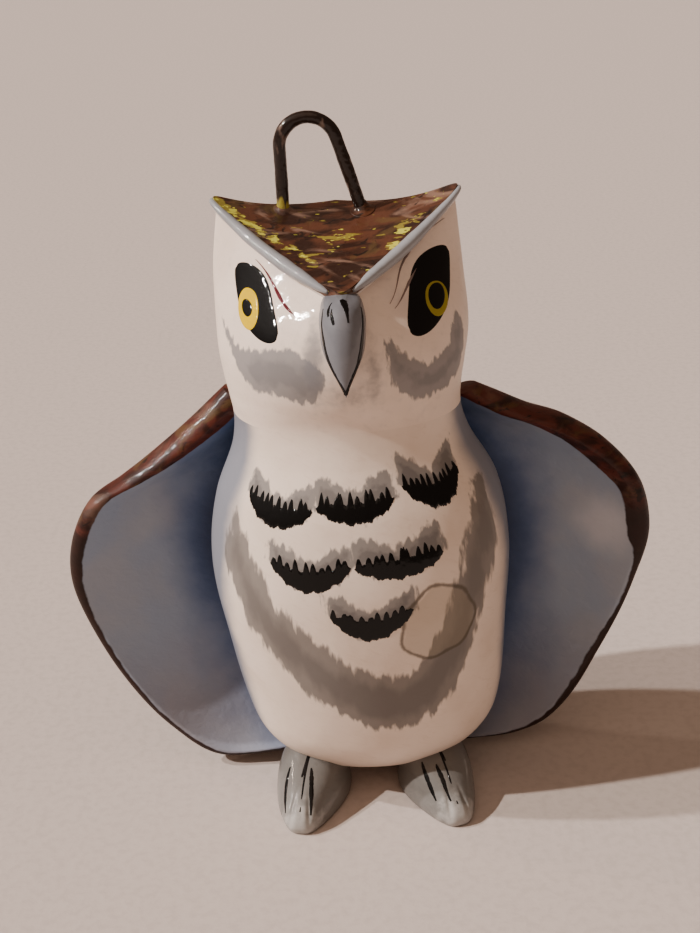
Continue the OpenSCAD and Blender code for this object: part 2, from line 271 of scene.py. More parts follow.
@dataclass(frozen=True)
class Relief:
    """Paint that stands a little proud of the surface it is brushed on."""

    at: Surface
    heart: tuple[float, float, float]
    thick: float = 0.035
    sunk: float = 0.06

    def sheet(self, name: str, u: Array, v: Array, height: Array) -> bpy.types.Object:
        """Make a closed film of paint.

        Args:
            name: Name of the piece.
            u: First parameters of its grid, of shape (along, across).
            v: Second parameters of its grid.
            height: Height over the surface as shares of the thickness, on the same grid.

        Returns:
            The film: its upper sheet, and under it the same grid sunk into the surface.
        """
        base = self.at(u, v)
        normal = outward(self.at, u, v, self.heart)
        upper = base + normal * (self.thick * height)[..., None]
        under = base - normal * self.sunk
        return skin(name, np.concatenate([upper, under[:, ::-1]], 1))

    def blot(self, name: str, outline: Points, centre: tuple[float, float]) -> bpy.types.Object:
        """Make a round-edged patch.

        Args:
            name: Name of the piece.
            outline: Points round its edge.
            centre: A point from which the whole edge can be seen.

        Returns:
            The patch, its upper side a dome that is steep only at the edge.
        """
        edge = along(outline, 160, closed=True)
        share = np.array([0.05, 0.25, 0.45, 0.6, 0.75, 0.86, 0.93, 0.97, 0.99, 1])
        share = share[:, None, None]
        grid = np.array(centre) * (1 - share) + edge * share
        u, v = grid[..., 0], grid[..., 1]
        base = self.at(u, v)
        normal = outward(self.at, u, v, self.heart)
        dome = np.sqrt(1 - np.clip(share, 0, 1) ** 8)
        upper = base + normal * self.thick * dome
        under = base[::-1] - normal[::-1] * self.sunk
        return skin(name, np.concatenate([upper, under]))

    def stroke(self, name: str, line: Points, widths: Points) -> bpy.types.Object:
        """Make a brush stroke.

        Args:
            name: Name of the piece.
            line: Points that the brush runs through.
            widths: Half widths in millimetres by share of the way.

        Returns:
            The stroke: its section is a low arch over the surface.
        """
        count = 60
        path = along(line, count)
        u, v = path[:, 0], path[:, 1]
        base = self.at(u, v)
        normal = outward(self.at, u, v, self.heart)
        side = unit(np.cross(unit(np.gradient(base, axis=0)), normal))
        half = Stations(widths).at(np.linspace(0, 1, count))[:, 0]
        half = half * (1 + 0.12 * ripple(np.linspace(0, 1, count), len(name) + count, 5, 0.3))
        t = np.linspace(-1, 1, 9)
        across = side[:, None] * (half[:, None] * t)[..., None] + base[:, None]
        arch = (1 - t**4)[None, :, None] * self.thick
        upper = across + normal[:, None] * arch
        under = across - normal[:, None] * self.sunk
        return skin(name, np.concatenate([upper, under[:, ::-1]], 1))


# ---------------------------------------------------------------------------------------------
# The clay forms


@dataclass(frozen=True)
class CrownForm:
    """The tilted three-cornered slab: its outline, upper face and lower face."""

    x: float = -0.9
    y: float = 0.5
    height: float = 68.9
    slope: float = 0.3
    thick: float = 3.2
    ear_lift: float = 3.5
    ear_x: float = 15.6
    ear_y: float = 6.8
    apex: float = 11.0
    rear: float = 8.9
    corner: float = 13.0

    def reach(self, q: Array) -> Array:
        """Distance to the outline at q degrees from the front.

        One over the distance is the 13-norm of three straight sides, which rounds corners.
        """
        s, c = np.sin(np.radians(q)), np.cos(np.radians(q))
        run, span = self.ear_y - self.y + self.apex, self.apex * self.ear_x
        right = np.maximum(0, run * s + self.ear_x * c) / span
        left = np.maximum(0, -run * s + self.ear_x * c) / span
        back = np.maximum(0, 0.19 * np.abs(s) - c) / (self.rear - self.y)
        total = right**self.corner + left**self.corner + back**self.corner
        return total ** (-1 / self.corner)

    def at(self, q: Array, share: Array | float = 1.0, grow: Array | float = 0.0) -> Array:
        """Plan point at q degrees and a share of the way out, grown by a distance."""
        r = self.reach(q) * share + grow
        a = np.radians(q)
        return np.stack([self.x + r * np.sin(a), self.y - r * np.cos(a)], -1)

    def top(self, plan: Array) -> Array:
        """Height of the upper face: a plane rising to the back, and to both ears."""
        ear = np.minimum(1.2, np.abs(plan[..., 0] - self.x) / self.ear_x) ** 2.4
        return self.height + self.slope * plan[..., 1] + self.ear_lift * ear

    def under(self, plan: Array, share: Array | float) -> Array:
        """Height of the lower face, which rises to the upper one towards the edge."""
        return self.top(plan) - self.thick * (1 - 0.5 * np.asarray(share) ** 2)


@dataclass(frozen=True)
class TorsoForm:
    """Egg-shaped body whose level sections are ellipses about a swaying axis."""

    half_w: float = 18.0
    front: float = 16.0
    back: float = 12.4
    belly_z: float = 1.3
    round_z: float = 10.5
    neck_z: float = 49.8
    head_x: float = -0.9
    heart: tuple[float, float, float] = (0, -1, 28)
    outline: Stations = Stations(
        (
            (2, 0.73, 0.70, 0.75),
            (12, 0.885, 0.87, 0.89),
            (22, 0.955, 0.975, 0.97),
            (32, 1, 1, 1),
            (40, 0.93, 0.88, 0.92),
            (46, 0.775, 0.70, 0.81),
            (50, 0.74, 0.655, 0.775),
            (54, 0.785, 0.72, 0.8),
        )
    )

    def axes(self, z: Array) -> tuple[Array, Array, Array]:
        """Half width, front and back of the level section at height z.

        They come from the outline, times a full dome near the ground: (1 - t^2.3)^0.43,
        with t running from 0 at round_z to 1 at the belly.
        """
        share = self.outline.at(z)
        t = np.clip((self.round_z - z) / (self.round_z - self.belly_z), 0, 1)
        dome = (1 - t**2.3) ** 0.43
        half, front, back = (share[..., k] * dome for k in range(3))
        return half * self.half_w, front * self.front, back * self.back

    def at(self, q: Array, z: Array) -> Array:
        """Surface point at q degrees from the front and height z."""
        half, front, back = self.axes(z)
        a = np.radians(q)
        x = sway(z, self.head_x) + half * np.sin(a)
        y = (back - front) / 2 - (back + front) / 2 * np.cos(a)
        return fingered(np.stack([x, y, z + 0 * x], -1))

    def clearance(self, points: Array) -> Array:
        """Level distance of points from the body's surface, positive outside."""
        x, y, z = np.moveaxis(points, -1, 0)
        half, front, back = self.axes(np.maximum(z, self.belly_z + 0.05))
        across, deep = x - sway(z, self.head_x), y - (back - front) / 2
        out = np.hypot(across, deep)
        share = np.hypot(across / half, deep / ((back + front) / 2))
        return out * (1 - 1 / np.maximum(share, 0.05))


@dataclass(frozen=True)
class HeadForm:
    """Egg that turns three-sided upwards and ends under the crown."""

    half_w: float = 14.9
    neck_z: float = 49.8
    eyes: tuple[tuple[float, float], ...] = ((-62, 63.4), (66, 63.0))
    heart: tuple[float, float, float] = (-0.9, 0, 60)
    outline: Stations = Stations(
        (
            (46, 0.936, 11.2, 10.0, 0),
            (50, 0.894, 10.5, 9.6, 0.00),
            (54, 0.95, 11.5, 9.9, 0.03),
            (57, 0.99, 12.1, 10.1, 0.05),
            (61, 1, 12.3, 10.0, 0.08),
            (66, 0.97, 11.8, 9.4, 0.12),
            (74, 0.93, 11.0, 8.6, 0.15),
        )
    )
    crown: CrownForm = CrownForm()
    torso: TorsoForm = TorsoForm()

    def top(self, q: Array) -> Array:
        """Height of the head's rim, just inside the crown's lower edge."""
        return self.crown.under(self.crown.at(q, 0.97), 0.97) + 0.35

    def at(self, q: Array, z: Array) -> Array:
        """Surface point at q degrees from the front and height z.

        The section is an ellipse times 1 + k cos 3q, which gives it three soft corners.
        Towards the top it turns into the crown's outline with the fourth power of height,
        and over the neck it turns into the torso. The eyes swell a little, and beside the
        beak the face is pressed in.
        """
        q, z = np.broadcast_arrays(np.asarray(q, float), np.asarray(z, float))
        s = np.clip((z - self.neck_z) / (self.top(q) - self.neck_z), 0, 1)
        level = self.neck_z + s * (self.crown.height - 2.2 - self.neck_z)
        h = self.outline.at(level)
        k, d = h[..., 3], (h[..., 1] + h[..., 2]) / 2
        a = np.radians(q)
        press = sum(0.45 * swell(q, z, eye, (22, 3.2)) for eye in self.eyes)
        press = press - sum(0.45 * swell(q, z, (side * 25, 62.0), (11, 4.5)) for side in (-1, 1))
        r = 1 + k * np.cos(3 * a) + press / 13
        x = sway(level, self.crown.x) + h[..., 0] * self.half_w * r / (1 + 0.3 * k) * np.sin(a)
        y = h[..., 2] - d * (1 - k) - d * r * np.cos(a)
        plan = np.stack([x, y], -1)
        w = (s**4)[..., None]
        plan = plan * (1 - w) + self.crown.at(q, 0.97) * w
        own = fingered(np.concatenate([plan, z[..., None]], -1))
        t = ease((z - self.neck_z) / 3)[..., None]
        return self.torso.at(q, z) * (1 - t) + own * t


@dataclass(frozen=True)
class BeakForm:
    """Hooked beak: half ellipses stacked from the tip to the brow."""

    x: float = -0.8
    half_w: float = 2.5
    tip_z: float = 56.0
    height: float = 9.7
    deep: float = 4.0
    heart: tuple[float, float, float] = (-0.6, -11, 61)
    profile: Stations = Stations(
        (
            (0, 0.10, 15.25),
            (0.12, 0.42, 15.6),
            (0.35, 0.86, 15.8),
            (0.6, 1, 15.4),
            (0.82, 0.96, 14.5),
            (0.95, 0.70, 13.3),
            (1, 0.25, 12.2),
        )
    )

    def at(self, q: Array, t: Array) -> Array:
        """Surface point at q degrees round from the ridge and share t of the way up.

        The front is half an ellipse a little squared, and the rings tip forwards at the
        beak's tip by 0.3 mm for each millimetre of depth.
        """
        q, t = np.broadcast_arrays(np.asarray(q, float), np.asarray(t, float))
        s = self.profile.at(t)
        w, front = s[..., 0] * self.half_w, s[..., 1]
        a = np.radians(q)
        x = w * np.sign(np.sin(a)) * np.abs(np.sin(a)) ** 0.9
        y = -front + self.deep * (1 - np.cos(a))
        z = self.tip_z + t * self.height + 0.3 * (1 - t) * (y + front)
        return fingered(np.stack([self.x + x, y, z], -1), 0.05)


@dataclass(frozen=True)
class WingForm:
    """Hollowed slab with a thick rolled edge, from the neck round to the belly."""

    side: int
    rim_line: Stations
    thick: float = 2.2
    rim: float = 5.0
    cup: float = 3.2
    root_line: Stations = Stations(
        ((0, 5, 5.6, 46), (0.3, 10, 5.4, 38), (0.6, 10, 4.8, 24), (1, 6, 3.6, 7))
    )
    rim_share: Stations = Stations(
        ((0, 0.8), (0.08, 1), (0.22, 0.9), (0.32, 0.62), (0.42, 0.5), (1, 0.44))
    )

    def rings(self, t: Array, per_face: int, per_rim: int) -> tuple[Array, Array, Array]:
        """Work out the sections of the wing.

        A section runs out along its front face, round the rim and back along its rear
        face. Its middle line bows backwards as half a sine wave. Its half thickness is that
        of the slab, plus the extra of the rim times a bell curve of the distance to the rim.

        Args:
            t: Shares of the way from the shoulder to the belly.
            per_face: Points along each face.
            per_rim: Points round the rim.

        Returns:
            The points, how far each is in from the outer edge, and 1 for the front face
            down to -1 for the rear face.
        """
        flip = np.array([self.side, 1, 1])
        tip = (self.rim_line.at(t) * flip)[:, None]
        root = (self.root_line.at(t) * flip)[:, None]
        rim = self.rim * self.rim_share.at(t)
        reach = np.linalg.norm(tip - root, axis=-1)
        d = (tip - root) / reach[..., None]
        n = unit(np.array([0, 1, 0]) - d * d[..., 1:2])
        s = np.linspace(0, 1, per_face)[None] ** 0.9 * reach
        half = self.thick / 2 + (rim - self.thick) / 2 * np.exp(-(((reach - s) / rim) ** 2))
        bow = self.cup * np.minimum(1, reach / 20) * np.sin(np.pi * s / reach)
        front = root + d * s[..., None] + n * (bow - half)[..., None]
        rear = root + d * s[..., None] + n * (bow + half)[..., None]
        a = np.linspace(0, np.pi, per_rim + 2)[None, 1:-1]
        edge = tip + (rim / 2)[..., None] * (d * np.sin(a)[..., None] - n * np.cos(a)[..., None])
        points = np.concatenate([front, edge, rear[:, ::-1]], 1)
        gap = reach + rim / 2 - s
        gap = np.concatenate([gap, rim / 2 * (1 - np.sin(a)), gap[:, ::-1]], 1)
        ones = np.ones_like(s)
        face = np.concatenate([ones, np.cos(a) + 0 * rim, -ones], 1)
        return fingered(points, 0.15), gap, face


@dataclass(frozen=True)
class FootForm:
    """Low wedge with round corners, highest at the heel, which runs in under the belly."""

    heel: tuple[float, float]
    toe: tuple[float, float]
    heel_w: float = 5.9
    toe_w: float = 2.5
    heel_h: float = 9.4
    toe_h: float = 3.6
    sole_h: float = 0.9

    @property
    def heart(self) -> tuple[float, float, float]:
        """A point inside the foot."""
        return ((self.heel[0] + self.toe[0]) / 2, (self.heel[1] + self.toe[1]) / 2, 1.5)

    def plan(self, q: Array, share: Array) -> tuple[Array, Array]:
        """Plan point in direction q, 0 at the toe, and its share of the way to the toe."""
        heel, toe = np.array(self.heel), np.array(self.toe)
        reach = np.linalg.norm(toe - heel)
        d = (toe - heel) / reach
        n = np.array([-d[1], d[0]])
        a = np.radians(q)
        f = (1 + np.cos(a)) / 2
        w = self.heel_w * (1 - f) + self.toe_w * f
        wide = w * np.sign(np.sin(a)) * np.abs(np.sin(a)) ** 0.62
        middle = heel + d * (reach * 0.45)
        edge = heel + d * (reach * f)[..., None] + n * wide[..., None]
        point = middle + (edge - middle) * np.asarray(share)[..., None]
        return point, ((point - heel) @ d) / reach

    def at(self, q: Array, share: Array) -> Array:
        """Point of the upper side in direction q at a share of the way out.

        The height falls from heel to toe as (1 - f)^1.2 and rounds over at the edge as
        (1 - share^3)^0.5. Two shallow grooves part the toes.
        """
        q, share = np.broadcast_arrays(np.asarray(q, float), np.asarray(share, float))
        point, f = self.plan(q, share)
        h = self.toe_h + (self.heel_h - self.toe_h) * (1 - np.clip(f, 0, 1)) ** 1.2
        z = self.sole_h + (h - self.sole_h) * np.sqrt(np.maximum(0, 1 - share**3))
        groove = sum(swell(q, share, (side * 17, 0.9), (7, 0.22)) for side in (-1, 1))
        return fingered(np.concatenate([point, (z - 0.3 * groove)[..., None]], -1), 0.08)


@dataclass(frozen=True)
class TailForm:
    """Tongue that leans on the back of the body and stands on the ground."""

    height: float = 14.0
    half_w: float = 6.4
    foot_y: float = 14.4

    def rings(self, t: Array, q: Array) -> Array:
        """Level sections at shares t of the height: squared ellipses that lean forwards."""
        a = np.radians(q)[None]
        t = t[:, None]
        w = self.half_w * (0.72 + 0.28 * np.sin(np.pi * np.minimum(1, t * 1.1 + 0.1)))
        w = w * (1 - 0.3 * t * t) * np.sqrt(np.clip((1 - t) / 0.12, 0.02, 1))
        x = w * np.sign(np.sin(a)) * np.abs(np.sin(a)) ** 0.7
        deep = (2.3 + 1.2 * t) * np.sqrt(np.clip((1 - t) / 0.12, 0.02, 1))
        y = self.foot_y - 6.2 * t**1.4 - deep * np.sign(np.cos(a)) * np.abs(np.cos(a)) ** 0.8
        return fingered(np.stack([x, y, self.height * t + 0 * a], -1), 0.06)


def rod(path: Array, radius: Array, around: int, off_axis: tuple[float, float, float]) -> Array:
    """Carry a circle along a path.

    Args:
        path: Points of the centre line.
        radius: Radius at each of them.
        around: Points round a section.
        off_axis: A direction that the rod never runs along.

    Returns:
        The sections, one ring for each point of the path.
    """
    t = unit(np.gradient(path, axis=0))
    u = unit(np.cross(t, np.array(off_axis, float)))
    v = np.cross(u, t)
    a = np.linspace(0, 2 * np.pi, around, endpoint=False)[None, :, None]
    return path[:, None] + radius[:, None, None] * (u[:, None] * np.cos(a) + v[:, None] * np.sin(a))


# ---------------------------------------------------------------------------------------------
# Finishes


def linear(code: str) -> tuple[float, float, float, float]:
    """Turn an sRGB hex value, such as #808080, to a linear colour."""
    part = np.array([int(code[k : k + 2], 16) / 255 for k in (1, 3, 5)])
    line = np.where(part <= 0.04045, part / 12.92, ((part + 0.055) / 1.055) ** 2.4)
    return (*line.tolist(), 1.0)


class Canvas:
    """A material in the making: its nodes and its shader."""

    def __init__(self, name: str) -> None:
        """Start a material with its shader and the place of each point in metres."""
        self.material = bpy.data.materials.new(name)
        self.material.use_nodes = True
        self.tree = self.material.node_tree
        self.tree.nodes.clear()
        out = self.tree.nodes.new("ShaderNodeOutputMaterial")
        self.shader = self.add("ShaderNodeBsdfPrincipled")
        self.tree.links.new(self.shader.outputs[0], out.inputs[0])
        self.place = self.add("ShaderNodeTexCoord").outputs["Object"]

    def add(self, kind: str, inputs: dict | None = None, **settings: object) -> bpy.types.Node:
        """Add a node.

        Args:
            kind: The node's type.
            inputs: For each input, by name or number, a value or the socket that feeds it.
            settings: The node's own settings.

        Returns:
            The node.
        """
        made = self.tree.nodes.new(kind)
        for key, value in settings.items():
            setattr(made, key, value)
        for key, value in (inputs or {}).items():
            if isinstance(value, bpy.types.NodeSocket):
                self.tree.links.new(value, made.inputs[key])
            else:
                made.inputs[key].default_value = value
        return made

    def mottle(
        self,
        size: float,
        detail: float = 3.0,
        squash: tuple[float, float, float] = (1, 1, 1),
        turn: tuple[float, float, float] = (0, 0, 0),
        twist: float = 0.0,
    ) -> bpy.types.NodeSocket:
        """Make an uneven pattern between 0 and 1.

        Args:
            size: Width of its patches in millimetres.
            detail: How many finer layers it has.
            squash: How much narrower the patches are along X, Y and Z.
            turn: Turn of the pattern about X, Y and Z in degrees.
            twist: How far the patches curl.

        Returns:
            The pattern's socket.
        """
        patch = [size * MM / s for s in squash]
        mapping = {"Vector": self.place, "Rotation": np.radians(turn).tolist(), "Scale": patch}
        placed = self.add("ShaderNodeMapping", mapping, vector_type="TEXTURE")
        wave = {"Vector": placed.outputs[0], "Scale": 1.0, "Detail": detail, "Distortion": twist}
        return self.add("ShaderNodeTexNoise", wave).outputs["Fac"]

    def field(self, key: str) -> bpy.types.NodeSocket:
        """Read the number that the mesh carries under this name."""
        return self.add("ShaderNodeAttribute", attribute_name=key).outputs["Fac"]

    def lay(
        self,
        under: bpy.types.NodeSocket | str,
        colour: bpy.types.NodeSocket | str,
        edge: bpy.types.NodeSocket,
        start: float,
        full: float,
        cover: float = 1.0,
        ragged: float = 0.0,
        grain: float = 1.0,
        squash: tuple[float, float, float] = (1, 1, 1),
    ) -> bpy.types.NodeSocket:
        """Brush a colour over another.

        Args:
            under: The colour below.
            colour: The colour brushed over it.
            edge: A number that rises from outside the brushed area to its inside.
            start: Where the new colour starts.
            full: Where it reaches its full cover.
            cover: Its full cover, from 0 to 1.
            ragged: How far the edge wavers, in the edge's own units.
            grain: Width of the waves in millimetres.
            squash: How much narrower the waves are along X, Y and Z.

        Returns:
            The mixed colour's socket.
        """
        if ragged:
            wave = self.mottle(grain, 3.0, squash)
            settings = {0: wave, 1: 2.4 * ragged, 2: -1.2 * ragged}
            wave = self.add("ShaderNodeMath", settings, operation="MULTIPLY_ADD").outputs[0]
            edge = self.add("ShaderNodeMath", {0: edge, 1: wave}, operation="ADD").outputs[0]
        limits = {"Value": edge, "From Min": start, "From Max": full, "To Max": cover}
        ramp = self.add("ShaderNodeMapRange", limits, interpolation_type="SMOOTHSTEP")
        mixed = {"Factor": ramp.outputs[0]}
        for key, value in ((6, under), (7, colour)):
            mixed[key] = linear(value) if isinstance(value, str) else value
        return self.add("ShaderNodeMix", mixed, data_type="RGBA").outputs[2]

    def rough(self, height: bpy.types.NodeSocket, depth: float) -> None:
        """Raise and lower the surface by a pattern, by up to depth millimetres."""
        bump = {"Height": height, "Distance": depth * MM, "Strength": 1.0}
        normal = self.add("ShaderNodeBump", bump).outputs[0]
        for key in ("Normal", "Coat Normal"):
            self.tree.links.new(normal, self.shader.inputs[key])

    def finish(self, colour: bpy.types.NodeSocket, sockets: dict[str, float]) -> bpy.types.Material:
        """Link the colour and set the shader's uniform sockets."""
        self.tree.links.new(colour, self.shader.inputs["Base Color"])
        for key, value in sockets.items():
            self.shader.inputs[key].default_value = value
        return self.material


@dataclass(frozen=True)
class CraftPaint:
    """Acrylic craft paint on fired clay under a brushed gloss varnish.

    The paint is matt and slightly streaky from the brush. The varnish gives it small sharp
    highlights, and fills most of the brush marks.
    """

    name: str
    colour: str
    dark: str
    roughness: float = 0.55
    gloss: float = 0.6
    gloss_roughness: float = 0.04
    shine: float = 0.2
    streak: float = 1.6
    depth: float = 0.03

    def colours(self, canvas: Canvas) -> bpy.types.NodeSocket:
        """The paint's colour: a base with faint darker clouds and brush streaks."""
        clouds = canvas.mottle(7.0, 4.0)
        base = canvas.lay(self.colour, self.dark, clouds, 0.42, 0.78, 0.45)
        streaks = canvas.mottle(self.streak, 3.0, (1, 1, 3.5), (0, 25, 10), 0.6)
        return canvas.lay(base, self.dark, streaks, 0.52, 0.8, 0.3)

    def material(self) -> bpy.types.Material:
        """Make the material."""
        canvas = Canvas(self.name)
        colour = self.colours(canvas)
        canvas.rough(canvas.mottle(1.3, 3.0, (1, 1, 1.5), (0, 20, 0), 0.3), self.depth)
        sockets = {
            "Roughness": self.roughness,
            "Specular IOR Level": self.shine,
            "Coat Weight": self.gloss,
            "Coat Roughness": self.gloss_roughness,
            "Coat IOR": 1.5,
        }
        return canvas.finish(colour, sockets)


@dataclass(frozen=True)
class BodyPaint(CraftPaint):
    """White body paint with grey washes, blue-grey flanks that are partly overspray and partly painted
    shade, and a dried ring of residue.
    """

    def colours(self, canvas: Canvas) -> bpy.types.NodeSocket:
        """White, then each wash over it in the order of painting."""
        base = CraftPaint.colours(self, canvas)
        # Blue-grey on both flanks: partly overspray from the wings, partly painted shade along the
        # body's edges beside the wings.
        base = canvas.lay(base, "#6C7484", canvas.field("flank_spray_and_shade"), -2.2, 2.6, 0.9, 1.2, 5.0)
        band = canvas.field("band")
        base = canvas.lay(base, "#6B6663", band, -0.45, 0.4, 0.88, 1.6, 1.2, (1.3, 1, 0.3))
        base = canvas.lay(base, "#544F4D", band, 0.6, 2.4, 0.5, 1.5, 2.0, (1, 1, 0.4))
        wash = canvas.field("wash")
        base = canvas.lay(base, "#73706F", wash, -0.35, 0.25, 0.88, 1.1, 0.8, (1.2, 1, 0.35))
        base = canvas.lay(base, "#524E4E", wash, 0.5, 1.3, 0.5, 0.9, 1.0)
        stain = canvas.field("stain")
        base = canvas.lay(base, "#8A7A5E", stain, 0.0, 0.4, 0.36, 0.5, 2.5)
        rim = canvas.add("ShaderNodeMath", {0: stain}, operation="ABSOLUTE").outputs[0]
        rim = canvas.add("ShaderNodeMath", {0: 0.0, 1: rim}, operation="SUBTRACT").outputs[0]
        return canvas.lay(base, "#4E4232", rim, -0.38, -0.04, 0.8, 0.16, 0.8)


@dataclass(frozen=True)
class FacePaint(CraftPaint):
    """White face paint with grey cheeks, and painted shade beside and under the beak."""

    def colours(self, canvas: Canvas) -> bpy.types.NodeSocket:
        """White, a pinkish cast near the crown, the grey cheeks, then painted shade beside and under
        the beak.
        """
        base = CraftPaint.colours(self, canvas)
        base = canvas.lay(base, "#D9C9C2", canvas.field("lash"), 0.15, 0.9, 0.6, 0.3, 2.0)
        cheek = canvas.field("cheek")
        base = canvas.lay(base, "#827F80", cheek, -0.2, 0.28, 0.9, 0.8, 0.8, (1.4, 1, 0.45))
        base = canvas.lay(base, "#6A686A", cheek, 0.7, 2.0, 0.5, 1.4, 1.8)
        # Painted shade: grey beside the beak and under its tip, where the beak shades the face.
        return canvas.lay(base, "#77767A", canvas.field("painted_beak_shade"), 0.0, 1.0, 0.75, 0.4, 1.0)


@dataclass(frozen=True)
class Marbled(CraftPaint):
    """Browns dabbed wet into each other with a sponge, flecked with yellow-green; the pale pinkish
    drifts are partly painted sheen of the varnish.
    """

    flecks: bool = True
    # Cover of the pale drifts, which are partly painted sheen.
    pale: float = 0.7

    def colours(self, canvas: Canvas) -> bpy.types.NodeSocket:
        """Mid brown, pale pinkish drifts that are partly painted sheen, near-black drifts, then flecks
        where the mesh asks.
        """
        drift = canvas.mottle(5.0, 5.0, (0.7, 1.4, 1.6), (0, 0, 15), 1.2)
        base = canvas.lay(self.colour, self.dark, drift, 0.42, 0.6, 0.95)
        olive = canvas.mottle(4.0, 5.0, (0.8, 1.3, 1.3), (10, 0, 40), 1.0)
        base = canvas.lay(base, "#5A4526", olive, 0.55, 0.68, 0.55)
        # Pale pinkish drifts: partly marbling, partly painted sheen of the wet varnish.
        pale = canvas.mottle(6.5, 5.0, (0.6, 1.5, 1.5), (20, 0, -20), 1.5)
        base = canvas.lay(base, "#8A6C5C", pale, 0.53, 0.68, self.pale)
        speck = canvas.mottle(1.3, 4.0, (0.7, 1.2, 1), (0, 10, 30), 0.8)
        base = canvas.lay(base, "#150B07", speck, 0.6, 0.68, 0.85)
        if self.flecks:
            fleck = canvas.field("fleck")
            base = canvas.lay(base, "#8B7C2E", fleck, 0.45, 0.55, 0.9, 1.1, 1.1, (0.6, 1.5, 1.5))
            base = canvas.lay(base, "#C9C445", fleck, 0.66, 0.76, 0.9, 1.2, 0.8, (0.6, 1.5, 1.5))
        return base


@dataclass(frozen=True)
class CrownPaint(Marbled):
    """Marbled brown on the crown's upper side, and face white round its edge."""

    def colours(self, canvas: Canvas) -> bpy.types.NodeSocket:
        """The marbled brown where the mesh says upper side, and face white below it."""
        brown = Marbled.colours(self, canvas)
        return canvas.lay("#D6CBC3", brown, canvas.field("upper"), 0.3, 0.5, 1.0, 0.1, 0.8)


@dataclass(frozen=True)
class WingPaint(Marbled):
    """Airbrushed blue-grey front, navy beside the body that is partly paint and partly painted shade,
    marbled brown rim and back, and a dark edge line.
    """

    def colours(self, canvas: Canvas) -> bpy.types.NodeSocket:
        """Spray coats from light to dark, the navy beside the body partly painted shade, then the
        brown over the rim and the back.
        """
        mist = canvas.mottle(9.0, 4.0)
        front = canvas.lay("#8F9CB0", "#9AA0AC", mist, 0.40, 0.66, 0.8)
        front = canvas.lay(front, "#8E8C96", canvas.field("low"), 0.0, 1.0, 0.7, 0.3, 6.0)
        front = canvas.lay(front, "#BFC0C8", canvas.field("pale"), 0.2, 1.0, 0.85, 0.25, 4.0)
        # Navy where the wing meets the body: partly the blue airbrush, partly painted shade in the
        # hollow between wing and body.
        near = canvas.field("near")
        front = canvas.lay(front, "#405680", near, 0.0, 0.7, 0.92, 0.16, 5.0)
        front = canvas.lay(front, "#102448", near, 0.42, 1.0, 0.9, 0.12, 5.0)
        band = canvas.field("band")
        brown = Marbled.colours(self, canvas)
        brown = canvas.lay(brown, "#24120C", canvas.field("thin"), 0.2, 0.8, 0.92)
        return canvas.lay(front, brown, band, -0.14, 0.12, 1.0, 0.22, 1.5)


@dataclass(frozen=True)
class FootPaint(CraftPaint):
    """Grey foot paint, paler towards the toe tips, with painted shade at the heel under the belly."""

    def colours(self, canvas: Canvas) -> bpy.types.NodeSocket:
        """Grey, then paler towards the toes and painted shade at the heel."""
        base = CraftPaint.colours(self, canvas)
        toe = canvas.field("toe")
        base = canvas.lay(base, "#B5B2AE", toe, 0.78, 1.0, 0.75, 0.15, 1.2)
        # Painted shade: darker towards the heel, which runs in under the belly.
        return canvas.lay(base, "#4B453F", toe, 0.6, 0.2, 0.7, 0.1, 2.0)


@dataclass(frozen=True)
class WirePaint(CraftPaint):
    """Soft iron craft wire overpainted with the crown's browns, thick and uneven."""

    def colours(self, canvas: Canvas) -> bpy.types.NodeSocket:
        """Dark brown with paler worn streaks and a yellow smear on the left leg."""
        base = CraftPaint.colours(self, canvas)
        worn = canvas.mottle(1.4, 4.0, (1, 1, 0.4))
        base = canvas.lay(base, "#7A6358", worn, 0.58, 0.7, 0.7)
        smear = canvas.field("smear")
        return canvas.lay(base, "#A99B35", smear, 0.3, 0.6, 0.9, 0.3, 0.9, (1, 1, 0.3))


class Coat(Enum):
    """The paints on the shelf."""

    BODY = BodyPaint("varnished_white_acrylic_body", "#ECDACB", "#D3BDAA", gloss=0.25)
    FACE = FacePaint("varnished_white_acrylic_face", "#F0DDCE", "#DAC6B6", gloss=0.18)
    CROWN = CrownPaint("marbled_brown_acrylic_crown", "#54301F", "#28140C", depth=0.12)
    WING = WingPaint(
        "airbrushed_acrylic_wing", "#52241A", "#280E07", gloss=0.16, depth=0.1, flecks=False, pale=0.25
    )
    TAIL = Marbled("marbled_brown_acrylic_tail", "#512C17", "#2A130B", depth=0.1, flecks=False)
    BROW = CraftPaint("varnished_grey_acrylic", "#96979B", "#7A7B80", depth=0.06)
    BEAK = CraftPaint("varnished_grey_acrylic_beak", "#6E6F75", "#5A5B61")
    FOOT = FootPaint("varnished_grey_acrylic_foot", "#72706D", "#57534F", depth=0.06)
    BLACK = CraftPaint("black_acrylic", "#060505", "#0A0808", shine=0.05, gloss=0.4)
    YELLOW = CraftPaint("yellow_acrylic", "#E0BC00", "#CCA200", shine=0.02, gloss=0.2)
    OCHRE = CraftPaint("dull_yellow_acrylic", "#9A8C22", "#7E6B1C", shine=0.05, gloss=0.3)
    RED = CraftPaint("dark_red_acrylic", "#5A0C1C", "#2A0A10", shine=0.05, gloss=0.3)
    SHADE = CraftPaint("grey_brown_acrylic", "#7E6C67", "#5C4E4B", shine=0.1, gloss=0.3)
    WIRE = WirePaint("painted_iron_wire", "#20120C", "#0E0705", shine=0.1, depth=0.12)


